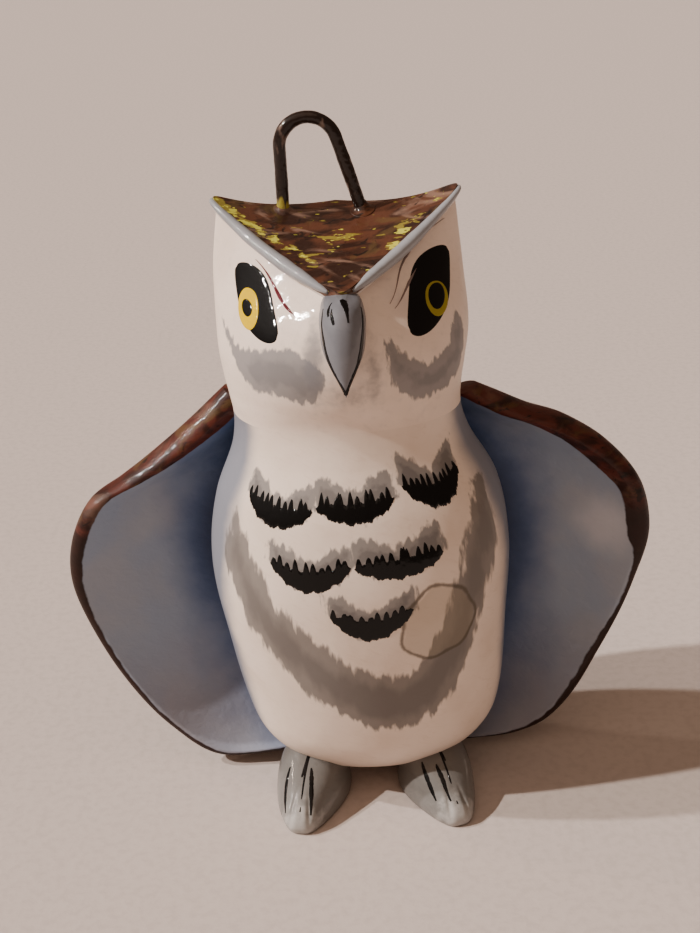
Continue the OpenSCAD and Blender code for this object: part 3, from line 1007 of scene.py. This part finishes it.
class Palette:
    """Mixes each paint once and dresses pieces with it."""

    def __init__(self) -> None:
        """Start with nothing mixed."""
        self.mixed: dict[Coat, bpy.types.Material] = {}

    def dress(self, piece: bpy.types.Object, coat: Coat, slot: str, *nodes: str) -> None:
        """Finish a piece and tie it to the frame.

        Args:
            piece: The piece.
            coat: Its paint.
            slot: The record's material slot for the piece; not used.
            nodes: The CAD nodes that it stands for.
        """
        if coat not in self.mixed:
            self.mixed[coat] = coat.value.material()
        piece.data.materials.append(self.mixed[coat])
        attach(piece, BODY)
        if nodes:
            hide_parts(*nodes)
        log.info("%s: %d faces in %s", piece.name, len(piece.data.polygons), coat.name.lower())


# ---------------------------------------------------------------------------------------------
# The sub-assemblies


@dataclass(frozen=True)
class FeatherMark:
    """One black feather mark, a hanging crescent with teeth, and its grey wash above."""

    start: float
    end: float
    start_z: float
    end_z: float
    sag: float
    thick: float
    wash: float
    dip: float = 0.5
    tooth_gap: float = 3.2
    tooth_half: float = 1.2

    def edges(self, q: Array) -> tuple[Array, Array]:
        """Work out the upper and lower edge of the black paint, without the teeth.

        The middle line hangs between its two ends as half a sine wave, and the paint thins
        towards them as the root of that wave.

        Args:
            q: Directions.

        Returns:
            The heights of the two edges at each direction.
        """
        s = np.clip((q - self.start) / (self.end - self.start), 0, 1)
        arch = np.sin(np.pi * s)
        middle = self.start_z * (1 - s) + self.end_z * s - self.sag * arch
        half = self.thick / 2 * np.sqrt(np.maximum(arch, 0))
        return middle + half, middle - half

    def spikes(self, q: Array, seed: int) -> Array:
        """Height of the teeth at each q: an uneven row of pointed bells."""
        rng = np.random.default_rng(seed)
        at = np.arange(self.start + 1.5, self.end - 1, self.tooth_gap)[:, None]
        at = at + rng.uniform(-0.9, 0.9, at.shape)
        tall = rng.uniform(0.5, 1.2, at.shape)
        return (tall * np.maximum(0, 1 - ((q - at) / self.tooth_half) ** 2) ** 0.8).sum(0)

    def build(self, name: str, seed: int, paint: Relief) -> bpy.types.Object:
        """Make the black paint.

        The upper edge carries the teeth and the lower edge wavers.

        Args:
            name: Name of the piece.
            seed: Picks its teeth and its wavering.
            paint: The paint film on the body.

        Returns:
            The film of black paint.
        """
        q = np.linspace(self.start, self.end, 300)
        s = np.linspace(0, 1, 300)
        upper, lower = self.edges(q)
        upper = upper + self.spikes(q, seed) + 0.10 * ripple(q, seed, 5, 4.0)
        lower = lower + 0.2 * ripple(q, seed + 7, 7, 7.0)
        closing = np.clip(np.minimum(s, 1 - s) / 0.035, 0, 1) ** 0.5
        middle = (upper + lower) / 2
        upper, lower = middle + (upper - middle) * closing, middle + (lower - middle) * closing
        t = np.linspace(0, 1, 12)[None]
        z = lower[:, None] * (1 - t) + upper[:, None] * t
        height = (1 - (2 * t - 1) ** 6) * np.sqrt(closing)[:, None]
        return paint.sheet(name, q[:, None] + 0 * t, z, height)

    def wash_at(self, q: Array, z: Array) -> Array:
        """How far inside the grey wash each place is, in millimetres.

        The wash starts under the black and reaches higher at both ends than between.
        """
        lo, hi = self.start, self.end
        s = np.clip((q - lo) / (hi - lo), 0, 1)
        upper, lower = self.edges(q)
        lobes = np.abs(np.cos(np.pi * s)) ** 1.5
        height = self.wash * (1 - self.dip * (1 - lobes))
        ends = np.minimum(q - lo, hi - q) * 0.3 + 0.3
        return np.minimum(np.minimum(upper + height - z, z - lower - 0.3), ends)


@dataclass(frozen=True)
class Torso:
    """The white body: its clay, its washes, its feather marks and a ring of residue."""

    form: TorsoForm = TorsoForm()
    mm_per_degree: float = 0.29
    stain_at: tuple[float, float] = (29.0, 27.4)
    stain_r: float = 4.7
    band: Points = (
        (-55, 40), (-62, 35), (-50, 27), (-30, 20), (-10, 15), (10, 13), (30, 16), (45, 22),
        (55, 31), (65, 37), (65, 42), (55, 41), (40, 35), (30, 27), (15, 21), (0, 22),
        (-20, 26), (-35, 31), (-50, 38),
    )
    marks: tuple[FeatherMark, ...] = (
        FeatherMark(-51, -18, 42.5, 41.5, 1.4, 2.3, 2.2),
        FeatherMark(-17, 16, 42, 42.5, 0.9, 2.1, 2.6),
        FeatherMark(20, 53, 43.5, 44, 1.8, 2.4, 3.0),
        FeatherMark(-36, -4, 35.5, 35.5, 1.8, 2.5, 2.4),
        FeatherMark(-3, 32, 35.5, 36, 0.7, 2.2, 2.9),
        FeatherMark(-13, 18, 29.5, 30, 2, 2.6, 2.5),
    )

    def build(self, palette: Palette) -> None:
        """Make the body and brush its marks on."""
        form = self.form
        low = form.round_z - (form.round_z - form.belly_z) * np.cos(np.linspace(0.02, 0.5, 30) * np.pi)
        z = np.concatenate([low, np.linspace(form.round_z, form.neck_z + 1, 231)[1:]])
        q = np.linspace(-180, 180, 340, endpoint=False)
        q, z = np.meshgrid(q, z)
        points = form.at(q, z)
        tuck = 0.06 * np.maximum(0, z - form.neck_z)
        points -= outward(form.at, q, np.maximum(z, 1.6), form.heart) * tuck[..., None]
        palette.dress(skin("torso_clay", points, self.fields(q, z)), Coat.BODY, "white_clay", "torso")
        paint = Relief(form.at, form.heart, 0.05)
        for k, mark in enumerate(self.marks):
            palette.dress(mark.build(f"feather_mark_{k + 1}", k + 3, paint), Coat.BLACK, "white_clay")

    def fields(self, q: Array, z: Array) -> Fields:
        """Numbers that place the washes: each is positive, in millimetres, inside its wash."""
        across = (q - self.stain_at[0]) * self.mm_per_degree
        around = np.arctan2(z - self.stain_at[1], across)
        reach = self.stain_r * (1 + 0.05 * np.cos(3 * around + 1) + 0.03 * np.cos(7 * around))
        high = np.clip((z - 24) / 20, 0, 1)
        # The flank field places the overspray and the painted shade along both edges of the body.
        left = (-q - 66 + 11 * high) * self.mm_per_degree
        right = (q - 72 + 10 * high) * self.mm_per_degree
        washes = [mark.wash_at(q, z) for mark in self.marks]
        return {
            "band": inside(q, z, along(self.band, 150, closed=True), self.mm_per_degree),
            "wash": np.max(washes, axis=0),
            "flank_spray_and_shade": np.maximum(left, right),
            "stain": reach - np.hypot(across, z - self.stain_at[1]),
        }


@dataclass(frozen=True)
class Oval:
    """A painted oval on the head: its centre, its half length and width in mm, its lean."""

    centre: tuple[float, float]
    half: tuple[float, float]
    lean: float

    def outline(self, mm_per_degree: float) -> Points:
        """Trace the oval, an ellipse a little fuller at its inner end.

        Args:
            mm_per_degree: Width of one degree on the head.

        Returns:
            Points round its edge.
        """
        a = np.linspace(0, 2 * np.pi, 32, endpoint=False)
        length = self.half[0] * np.cos(a)
        width = self.half[1] * 1.08 * np.sin(a) * (1 + 0.12 * np.cos(a))
        lean = np.radians(self.lean)
        q = self.centre[0] + (length * np.cos(lean) - width * np.sin(lean)) / mm_per_degree
        z = self.centre[1] + length * np.sin(lean) + width * np.cos(lean)
        return tuple(zip(q.tolist(), z.tolist()))


@dataclass(frozen=True)
class Head:
    """The white head with its painted eyes, creases and cheeks."""

    form: HeadForm = HeadForm()
    mm_per_degree: float = 0.24
    left_cheek: Points = (
        (-85, 61), (-60, 59), (-40, 59.5), (-20, 59.5), (-8, 57), (-12, 54.5), (-30, 54.5),
        (-50, 55), (-70, 58.5),
    )
    right_cheek: Points = (
        (20, 60), (30, 58.5), (40, 57), (60, 58), (80, 60), (80, 57.5), (60, 53.5), (45, 53),
        (30, 53.5), (20, 57),
    )
    left_eye: tuple[Oval, ...] = (
        Oval((-62, 63.7), (7.4, 1.65), -24),
        Oval((-64, 63), (3.4, 1.2), -27),
        Oval((-64.5, 63), (1.7, 0.55), -21),
    )
    right_eye: tuple[Oval, ...] = (
        Oval((67, 63.8), (-8.1, 1.95), 24),
        Oval((67, 62.9), (-3, 1.25), 22),
        Oval((67.5, 63.1), (-2.4, 0.9), 22),
    )

    def build(self, palette: Palette) -> None:
        """Make the head and paint its face."""
        form = self.form
        q = np.linspace(-180, 180, 340, endpoint=False)[None]
        share = np.linspace(0, 1, 170)[:, None]
        z = form.neck_z + share * (form.top(q) - form.neck_z)
        under = form.neck_z - np.array([[1.0], [0.5]])
        z = np.concatenate([under + 0 * q, z])
        q = q + 0 * z
        points = form.at(q, z)
        tuck = 0.06 * np.maximum(0, form.neck_z - z)
        points -= outward(form.at, q, z, form.heart) * tuck[..., None]
        lid = points[-1:]
        middle = lid.mean(1, keepdims=True)
        lids = [middle + (lid - middle) * s for s in (0.9, 0.6, 0.3)]
        skin_rings = np.concatenate([points, *lids])
        q = np.concatenate([q, np.repeat(q[-1:], 3, 0)])
        z = np.concatenate([z, np.repeat(z[-1:], 3, 0)])
        piece = skin("head_clay", skin_rings, self.fields(q, z))
        palette.dress(piece, Coat.FACE, "face_clay", "head")
        self.paint_eyes(palette)
        self.paint_creases(palette)

    def fields(self, q: Array, z: Array) -> Fields:
        """Numbers that place the cheeks, the painted shade round the beak and the pinkish cast near
        the crown.
        """
        cheeks = [
            inside(q, z, along(line, 120, closed=True), self.mm_per_degree)
            for line in (self.left_cheek, self.right_cheek)
        ]
        # Painted shade: swellings beside the beak and one under its tip.
        side = swell(q, z, (-13, 59.0), (5, 4.2)) + 0.7 * swell(q, z, (13, 57.0), (4, 3.0))
        side = side + 0.5 * swell(q, z, (2, 54.6), (9, 1.6))
        lash = swell(q, z, (-55, 67.5), (22, 2.0)) + 0.8 * swell(q, z, (40, 63.8), (14, 2.2))
        return {"cheek": np.maximum(*cheeks), "painted_beak_shade": side, "lash": lash}

    def paint_eyes(self, palette: Palette) -> None:
        """Black almonds, yellow irises and black pupils, each film over the one before."""
        form = self.form
        films = [Relief(form.at, form.heart, thick) for thick in (0.05, 0.09, 0.13)]
        sides = (
            ("left", self.left_eye, Coat.YELLOW),
            ("right", self.right_eye, Coat.OCHRE),
        )
        for side, ovals, iris in sides:
            coats = (("eye", Coat.BLACK), ("iris", iris), ("pupil", Coat.BLACK))
            for film, oval, (name, coat) in zip(films, ovals, coats):
                blot = film.blot(f"{name}_{side}", oval.outline(self.mm_per_degree), oval.centre)
                palette.dress(blot, coat, "face_clay")

    def paint_creases(self, palette: Palette) -> None:
        """Brush the fine lines above the eyes."""
        paint = Relief(self.form.at, self.form.heart, 0.06)
        fine = ((0, 0.03), (0.3, 0.11), (0.7, 0.2), (0.85, 0.16), (1, 0.02))
        faint = ((0, 0.02), (0.3, 0.16), (0.6, 0.12), (1, 0.02))
        left = ((-82, 67.5), (-50, 65), (-26, 63))
        right = ((103, 70), (80, 68), (55, 66), (31, 63.5))
        second = ((70, 66), (50, 64.5), (33, 63))
        strokes = (
            ("crease_left", left, fine, Coat.RED),
            ("crease_right", right, faint, Coat.SHADE),
            ("crease_right_low", second, faint, Coat.SHADE),
        )
        for name, line, widths, coat in strokes:
            palette.dress(paint.stroke(name, line, widths), coat, "face_clay")


@dataclass(frozen=True)
class Crown:
    """The marbled slab on the head, with its two grey brows."""

    form: CrownForm = CrownForm()
    brow_r: float = 0.85
    edge_flecks: int = 7
    flecks: tuple[tuple[float, float, float], ...] = (
        (-4, -4, 0.5), (-1.5, -1.5, 0.5), (-1.5, 1, 0.6), (0.5, 1, 0.6), (5.5, -2, 0.85),
        (6.5, 0.5, 0.7), (8, 2.5, 0.5), (2.5, -6.5, 0.6), (10.5, 4.5, 0.5),
    )

    def build(self, palette: Palette) -> None:
        """Make the slab and lay a brow along each front edge."""
        form = self.form
        q = np.linspace(-180, 180, 420, endpoint=False)
        below = [self.level(q, s, 0, form.under) for s in np.linspace(0.1, 0.96, 8)]
        rim = self.rim(q)
        shares = 1 - np.linspace(0.02, 1, 110, endpoint=False) ** 1.2
        above = [self.level(q, s, 0, lambda p, _: form.top(p)) for s in shares]
        rings = np.stack([*below, *rim, *above])
        upper = np.zeros(rings.shape[:2])
        upper[len(below) + 2 :] = 1
        plan = rings[..., :2]
        row = np.linspace((-14.5, 5, 0.95), (-4.5, -2.5, 0.6), self.edge_flecks).tolist()
        fleck = sum(
            strong * np.exp(-(np.linalg.norm(plan - (x, y), axis=-1) ** 2))
            for x, y, strong in [*row, *self.flecks]
        )
        piece = skin("crown_clay", fingered(rings, 0.1), {"upper": upper, "fleck": fleck})
        palette.dress(piece, Coat.CROWN, "crown_brown", "crown")
        for side, name in ((-1, "left"), (1, "right")):
            piece = self.brow(f"brow_{name}_clay", side)
            palette.dress(piece, Coat.BROW, "grey_clay", f"brow_{name}")

    def level(self, q: Array, share: float, grow: float, height: Surface) -> Array:
        """One ring of the slab at a share of the way out."""
        plan = self.form.at(q, share, grow)
        return np.concatenate([plan, height(plan, share)[:, None]], -1)

    def rim(self, q: Array) -> list[Array]:
        """The round edge: five rings on half an ellipse from the lower to the upper face."""
        plan = self.form.at(q, 1.0)
        top, under = self.form.top(plan), self.form.under(plan, 1.0)
        rings = []
        for a in np.radians((-70, -35, 0, 35, 70)):
            point = self.form.at(q, 1.0, 0.35 * (np.cos(a) - 1))
            height = (top + under) / 2 + (top - under) / 2 * np.sin(a)
            rings.append(np.concatenate([point, height[:, None]], -1))
        return rings

    def brow(self, name: str, side: int) -> bpy.types.Object:
        """A coil pressed flat along one front edge, fine at both ends.

        Its section is an ellipse that leans outwards and down over the slab's edge.
        """
        count = 120
        s = np.linspace(0, 1, count)
        q = side * (113 - 105 * s)
        plan = self.form.at(q, 1.0, -0.1)
        path = np.concatenate([plan, (self.form.top(plan) - 0.5)[:, None]], -1)
        size = np.clip(np.sin(np.pi * np.clip(s, 0.004, 0.996)) ** 0.35, 0.2, 1)
        size = self.brow_r * size * (1 + 0.05 * ripple(s, 5 + side, 4, 0.5))
        t = unit(np.gradient(path, axis=0))
        out = unit(np.cross(t, [0, 0, -side]))
        up = np.cross(out, t) * side
        a = np.linspace(0, 2 * np.pi, 40, endpoint=False)[None, :, None]
        lean = out * 1.12 - up * 0.25
        wide = size[:, None, None]
        rings = path[:, None] + wide * (lean[:, None] * np.cos(a) + up[:, None] * np.sin(a) * 0.95)
        return skin(name, fingered(rings, 0.1))


@dataclass(frozen=True)
class Beak:
    """The grey beak with its black outline and nostrils."""

    form: BeakForm = BeakForm()

    def build(self, palette: Palette) -> None:
        """Make the beak and paint its lines."""
        q = np.linspace(-180, 180, 140, endpoint=False)[None]
        t = (1 - np.cos(np.linspace(0, np.pi, 120))) / 2
        rings = self.form.at(q, t[:, None])
        palette.dress(skin("beak_clay", rings), Coat.BEAK, "beak_grey", "beak")
        paint = Relief(self.form.at, self.form.heart, 0.04)
        line = ((0, 0.08), (0.15, 0.3), (0.6, 0.34), (1, 0.2))
        dash = ((0, 0.05), (0.6, 0.2), (1, 0.14))
        left = ((-65, 0.9), (-60, 0.7), (-50, 0.45), (-38, 0.25), (-6, 0.03))
        right = ((65, 0.9), (55, 0.7), (45, 0.45), (32, 0.25), (6, 0.03))
        lines = (
            ("beak_line_left", left, line),
            ("beak_line_right", right, line),
            ("nostril_left", ((-48, 0.97), (-38, 0.87)), dash),
            ("nostril_left_front", ((-33, 0.94), (-21, 0.81)), dash),
            ("nostril_right", ((20, 0.97), (11, 0.92), (12, 0.83)), ((0, 0.1), (0.6, 0.42), (1, 0.1))),
        )
        for name, path, widths in lines:
            palette.dress(paint.stroke(name, path, widths), Coat.BLACK, "beak_grey")


@dataclass(frozen=True)
class Wing:
    """A wing: hollow airbrushed front, marbled rolled edge and brown back."""

    name: str
    form: WingForm
    band: Stations
    pale: tuple[float, float, float]
    torso: TorsoForm = TorsoForm()

    def build(self, palette: Palette) -> None:
        """Make the wing with the numbers that place its sprays, the painted shade beside the body, and
        its brown edge.
        """
        t = np.linspace(0, 1, 330)
        points, gap, face = self.form.rings(t, 90, 26)
        band = self.band.at(t)[:, None, 0] - gap
        front = np.clip(face * 6 + 1, 0, 1)
        out = self.torso.clearance(points)
        z = points[..., 2]
        # near: closeness to the body, strongest at mid height; it places navy that is partly paint and
        # partly painted shade.
        middle = np.exp(-(((z - 29) / 15) ** 2))
        near = (1.15 - out / 8) * (0.35 + 0.75 * middle)
        pale = np.exp(
            -(((np.abs(points[..., 0]) - self.pale[0]) / 4) ** 2) - ((z - self.pale[1]) / 5) ** 2
        )
        fields = {
            "band": np.where(front < 0.5, 3.0, band),
            "near": near,
            "low": np.clip((20 - z) / 14, -0.5, 1),
            "pale": pale * self.pale[2],
            "thin": np.clip((t[:, None] - 0.33) / 0.08, 0, 1) * np.clip(front + 0.3, 0, 1),
        }
        piece = skin(f"{self.name}_clay", points, fields)
        palette.dress(piece, Coat.WING, "wing_clay", self.name)


@dataclass(frozen=True)
class Foot:
    """A grey foot with three black toe lines."""

    name: str
    form: FootForm
    lines: tuple[Points, ...]

    def build(self, palette: Palette) -> None:
        """Make the foot from its flat sole up over the edge, and brush its lines."""
        form = self.form
        q = np.linspace(-180, 180, 200, endpoint=False)
        share = 1 - np.linspace(0.0, 0.985, 70) ** 1.6
        upper = form.at(q[None], share[:, None])
        edge, _ = form.plan(q[None], np.array([[0.9], [0.955], [0.985]]))
        heights = np.array([[0.0], [0.08], [0.4]]) + 0 * q
        lower = np.concatenate([edge, heights[..., None]], -1)
        rings = np.concatenate([lower, upper])
        _, along_foot = form.plan(q[None] + 0 * share[:, None], share[:, None] + 0 * q)
        toe = np.concatenate([np.repeat(along_foot[:1], 3, 0), along_foot])
        piece = skin(f"{self.name}_clay", rings, {"toe": toe})
        palette.dress(piece, Coat.FOOT, "foot_grey", self.name)
        paint = Relief(form.at, form.heart, 0.04)
        widths = ((0, 0.1), (0.3, 0.24), (0.8, 0.24), (1, 0.1))
        for k, line in enumerate(self.lines):
            stroke = paint.stroke(f"{self.name}_line_{k + 1}", line, widths)
            palette.dress(stroke, Coat.BLACK, "foot_grey")


@dataclass(frozen=True)
class Tail:
    """The brown tongue that props the owl from behind."""

    form: TailForm = TailForm()

    def build(self, palette: Palette) -> None:
        """Make the tail."""
        q = np.linspace(-180, 180, 160, endpoint=False)
        t = np.concatenate([np.linspace(0, 0.88, 80), 1 - 0.12 * np.linspace(1, 0, 20)[1:] ** 2])
        palette.dress(skin("tail_clay", self.form.rings(t, q)), Coat.TAIL, "tail_brown", "tail")


@dataclass(frozen=True)
class HangingLoop:
    """Painted wire bent to a loop, and the paint that gathered where it enters the crown."""

    crown: CrownForm = CrownForm()
    wire_r: float = 0.74
    bend_r: float = 3.3
    bend_z: float = 78.4
    lean: float = 17.0
    x: float = -3.65
    y: float = 6.4
    depth: float = 1.9

    def path(self) -> Array:
        """Centre line: up the left leg, half round the bend and down the leaning leg."""
        floor = self.crown.height + self.crown.slope * self.y - self.depth
        a = np.radians(np.linspace(180, self.lean, 60))
        bend = np.stack([self.x + self.bend_r * np.cos(a), self.bend_z + self.bend_r * np.sin(a)], -1)
        rise = np.linspace(0, 1, 50, endpoint=False)[:, None]
        left = np.array([self.x - self.bend_r, floor]) * (1 - rise) + bend[0] * rise
        drop = bend[-1, 1] - floor
        foot = bend[-1] + [np.tan(np.radians(self.lean)) * drop, -drop]
        right = bend[-1] * (1 - rise) + foot * rise
        line = np.concatenate([left, bend, right[1:], foot[None]])
        return np.stack([line[:, 0], self.y + 0 * line[:, 0], line[:, 1]], -1)

    def build(self, palette: Palette) -> None:
        """Make the wire, a little lumpy with paint, and a fillet of paint round each leg."""
        path = self.path()
        s = np.linspace(0, 1, len(path))
        radius = self.wire_r * (1 + 0.05 * ripple(s, 3, 6, 0.35))
        rings = fingered(rod(path, radius, 48, (0, 1, 0)), 0.06)
        low = np.exp(-(((rings[..., 2] - 71.5) / 1.5) ** 2))
        smear = low * (s[:, None] < 0.4) * (0.75 + 0.3 * ripple(rings[..., 0], 3, 3, 1.2))
        wire = skin("hanger_wire", rings, {"smear": smear})
        palette.dress(wire, Coat.WIRE, "loop_wire", "hanger_loop")
        for name, end in (("left", path[0]), ("right", path[-1])):
            palette.dress(self.fillet(f"hanger_fillet_{name}", end), Coat.TAIL, "crown_brown")

    def fillet(self, name: str, end: Array) -> bpy.types.Object:
        """Paint meniscus round a leg: its height falls off as the square of the distance."""
        a = np.linspace(0, 2 * np.pi, 64, endpoint=False)[None]
        share = np.linspace(0, 1, 14)[:, None]
        r = 0.55 + 0.95 * share * (1 + 0.15 * ripple(a / (2 * np.pi), len(name), 3, 1.0))
        slide = self.depth * np.tan(np.radians(self.lean)) * (end[0] > self.x)
        x, y = end[0] - slide + r * np.cos(a), end[1] + r * np.sin(a)
        top = self.crown.top(np.stack([x, y], -1))
        rise = np.stack([x, y, top + 0.02 + 0.85 * (1 - share) ** 2.2], -1)
        sink = np.stack([x, y, top - 0.3 - 0 * share], -1)[::-1]
        return skin(name, np.concatenate([rise, sink]))


# ---------------------------------------------------------------------------------------------
# The owl and its studio


@dataclass(frozen=True)
class Owl:
    """The whole ornament."""

    right_rim: Stations = Stations(
        (
            (0, 13.3, 5.2, 48.4),
            (0.08, 18.6, 4.4, 46.0),
            (0.16, 23.4, 3.4, 44.6),
            (0.24, 28.2, 2.2, 41.9),
            (0.34, 33.1, 1.1, 36.7),
            (0.42, 34.6, 0.8, 30.9),
            (0.52, 32.8, 0.7, 24.1),
            (0.67, 29.0, 0.6, 14.4),
            (0.84, 22.3, 0.6, 4.5),
            (0.91, 18.1, 0.6, 2.4),
            (1, 12.0, 0.8, 1.8),
        )
    )
    left_rim: Stations = Stations(
        (
            (0, 13.6, 5.2, 49.6),
            (0.07, 17.1, 4.6, 46.5),
            (0.155, 22.2, 3.4, 43.1),
            (0.23, 26.8, 2.4, 40.3),
            (0.3, 31.1, 1.4, 37.9),
            (0.37, 33.6, 0.9, 33.8),
            (0.45, 34.8, 0.8, 28.1),
            (0.54, 33.9, 0.7, 22.4),
            (0.66, 30.3, 0.6, 14.4),
            (0.8, 24.8, 0.3, 6.2),
            (0.905, 18.8, -0.4, 2.2),
            (1, 9.6, -0.2, 2.4),
        )
    )
    right_band: Stations = Stations(
        (
            (0, 2.5), (0.1, 3.5), (0.2, 4), (0.3, 4), (0.35, 3), (0.44, 2.5), (0.46, 1.6),
            (0.7, 1.2), (1, 0.5),
        )
    )
    left_band: Stations = Stations(
        ((0, 4), (0.1, 4), (0.2, 3), (0.25, 2), (0.35, 1.8), (0.5, 1.2), (0.7, 0.8), (1, 0.8))
    )
    left_lines: tuple[Points, ...] = (
        ((-80, 0.55), (-55, 0.8), (-36, 0.95)),
        ((-15, 0.35), (0, 0.6), (0, 0.85)),
        ((45, 0.25), (30, 0.55), (22, 0.9)),
    )
    right_lines: tuple[Points, ...] = (
        ((-88, 0.6), (-65, 0.75), (-46, 0.9)),
        ((-55, 0.35), (-25, 0.55), (-10, 0.8)),
        ((20, 0.2), (0, 0.5), (0, 0.85)),
    )

    def build(self, palette: Palette) -> None:
        """Make every sub-assembly in order."""
        parts = (
            Torso(),
            Head(),
            Crown(),
            Beak(),
            Wing("wing_left", WingForm(-1, self.left_rim), self.left_band, (27, 33, 0.3)),
            Wing("wing_right", WingForm(1, self.right_rim), self.right_band, (30.5, 31, 1.0)),
            Foot("foot_left", FootForm((-6.6, -3.5), (-9.2, -16.6)), self.left_lines),
            Foot("foot_right", FootForm((6.9, -3.5), (10.4, -16.6)), self.right_lines),
            Tail(),
            HangingLoop(),
        )
        for part in parts:
            part.build(palette)


@dataclass(frozen=True)
class Lamp:
    """A distant lamp: where it stands seen from the owl, its strength, size and colour."""

    name: str
    azimuth: float
    elevation: float
    power: float
    width: float
    colour: str

    def build(self) -> None:
        """Hang the lamp, aimed at the owl."""
        light = bpy.data.lights.new(self.name, "SUN")
        light.energy = self.power
        light.angle = np.radians(self.width)
        light.color = linear(self.colour)[:3]
        lamp = bpy.data.objects.new(self.name, light)
        turn = (0, np.radians(90 - self.elevation), np.radians(self.azimuth))
        lamp.rotation_euler = turn
        bpy.context.scene.collection.objects.link(lamp)


@dataclass(frozen=True)
class Studio:
    """A pale paper floor, three small lamps from the left, soft light above, and the camera."""

    floor_size: float = 6.0
    aim: tuple[float, float, float] = (-0.8, 0.0, 41.2)
    distance: float = 175.0
    elevation: float = 24.0
    roll: float = 3.0
    lens: float = 56.27
    film_height: float = 36.0
    fill: float = 0.2
    fill_colour: str = "#FFD9BE"
    lamps: tuple[Lamp, ...] = (
        Lamp("lamp_front", 193, 39, 3.5, 1.5, "#FFF6EE"),
        Lamp("lamp_middle", 179, 43, 2.2, 1.5, "#FFF6F0"),
        Lamp("lamp_rear", 160, 42, 0.25, 3.0, "#FFE2C8"),
        Lamp("lamp_overhead", 262, 62, 0.5, 60.0, "#FFDCC0"),
    )

    def build(self) -> None:
        """Set up floor, light and camera."""
        self.lay_floor()
        for lamp in self.lamps:
            lamp.build()
        world = bpy.data.worlds.new("studio_fill")
        world.use_nodes = True
        sky = world.node_tree.nodes["Background"].inputs
        sky[0].default_value = linear(self.fill_colour)
        sky[1].default_value = self.fill
        bpy.context.scene.world = world
        self.set_camera()

    def lay_floor(self) -> None:
        """Lay the paper: a faint fibre texture on uncoated stock."""
        half = self.floor_size / 2
        mesh = bpy.data.meshes.new("paper_floor")
        corners = [(-half, -half, 0), (half, -half, 0), (half, half, 0), (-half, half, 0)]
        mesh.from_pydata(corners, [], [(0, 1, 2, 3)])
        floor = bpy.data.objects.new("paper_floor", mesh)
        bpy.context.scene.collection.objects.link(floor)
        canvas = Canvas("uncoated_paper")
        fibres = canvas.mottle(1.2, 4.0)
        colour = canvas.lay("#C4B7B0", "#BDB0A9", fibres, 0.4, 0.7)
        canvas.rough(fibres, 0.05)
        mesh.materials.append(canvas.finish(colour, {"Roughness": 0.85, "Specular IOR Level": 0.2}))

    def set_camera(self) -> None:
        """Place the camera level with its aim, raised and rolled about its own line of sight."""
        data = bpy.data.cameras.new("camera")
        data.sensor_fit = "VERTICAL"
        data.sensor_height = self.film_height
        data.lens = self.lens
        data.clip_start = 0.01
        e, r = np.radians(self.elevation), np.radians(self.roll)
        back = np.array([0, -np.cos(e), np.sin(e)])
        right, up = np.array([1, 0, 0]), np.array([0, np.sin(e), np.cos(e)])
        place = (np.array(self.aim) + self.distance * back) * MM
        turned = np.eye(4)
        turned[:3, 0] = right * np.cos(r) - up * np.sin(r)
        turned[:3, 1] = right * np.sin(r) + up * np.cos(r)
        turned[:3, 2] = back
        turned[:3, 3] = place
        camera = bpy.data.objects.new("camera", data)
        camera.matrix_world = Matrix(turned.tolist())
        bpy.context.scene.collection.objects.link(camera)
        bpy.context.scene.camera = camera


def main() -> None:
    """Build the owl, then the studio around it."""
    logging.basicConfig(level=logging.INFO, format="%(message)s")
    Owl().build(Palette())
    Studio().build()


if __name__ == "__main__":
    main()
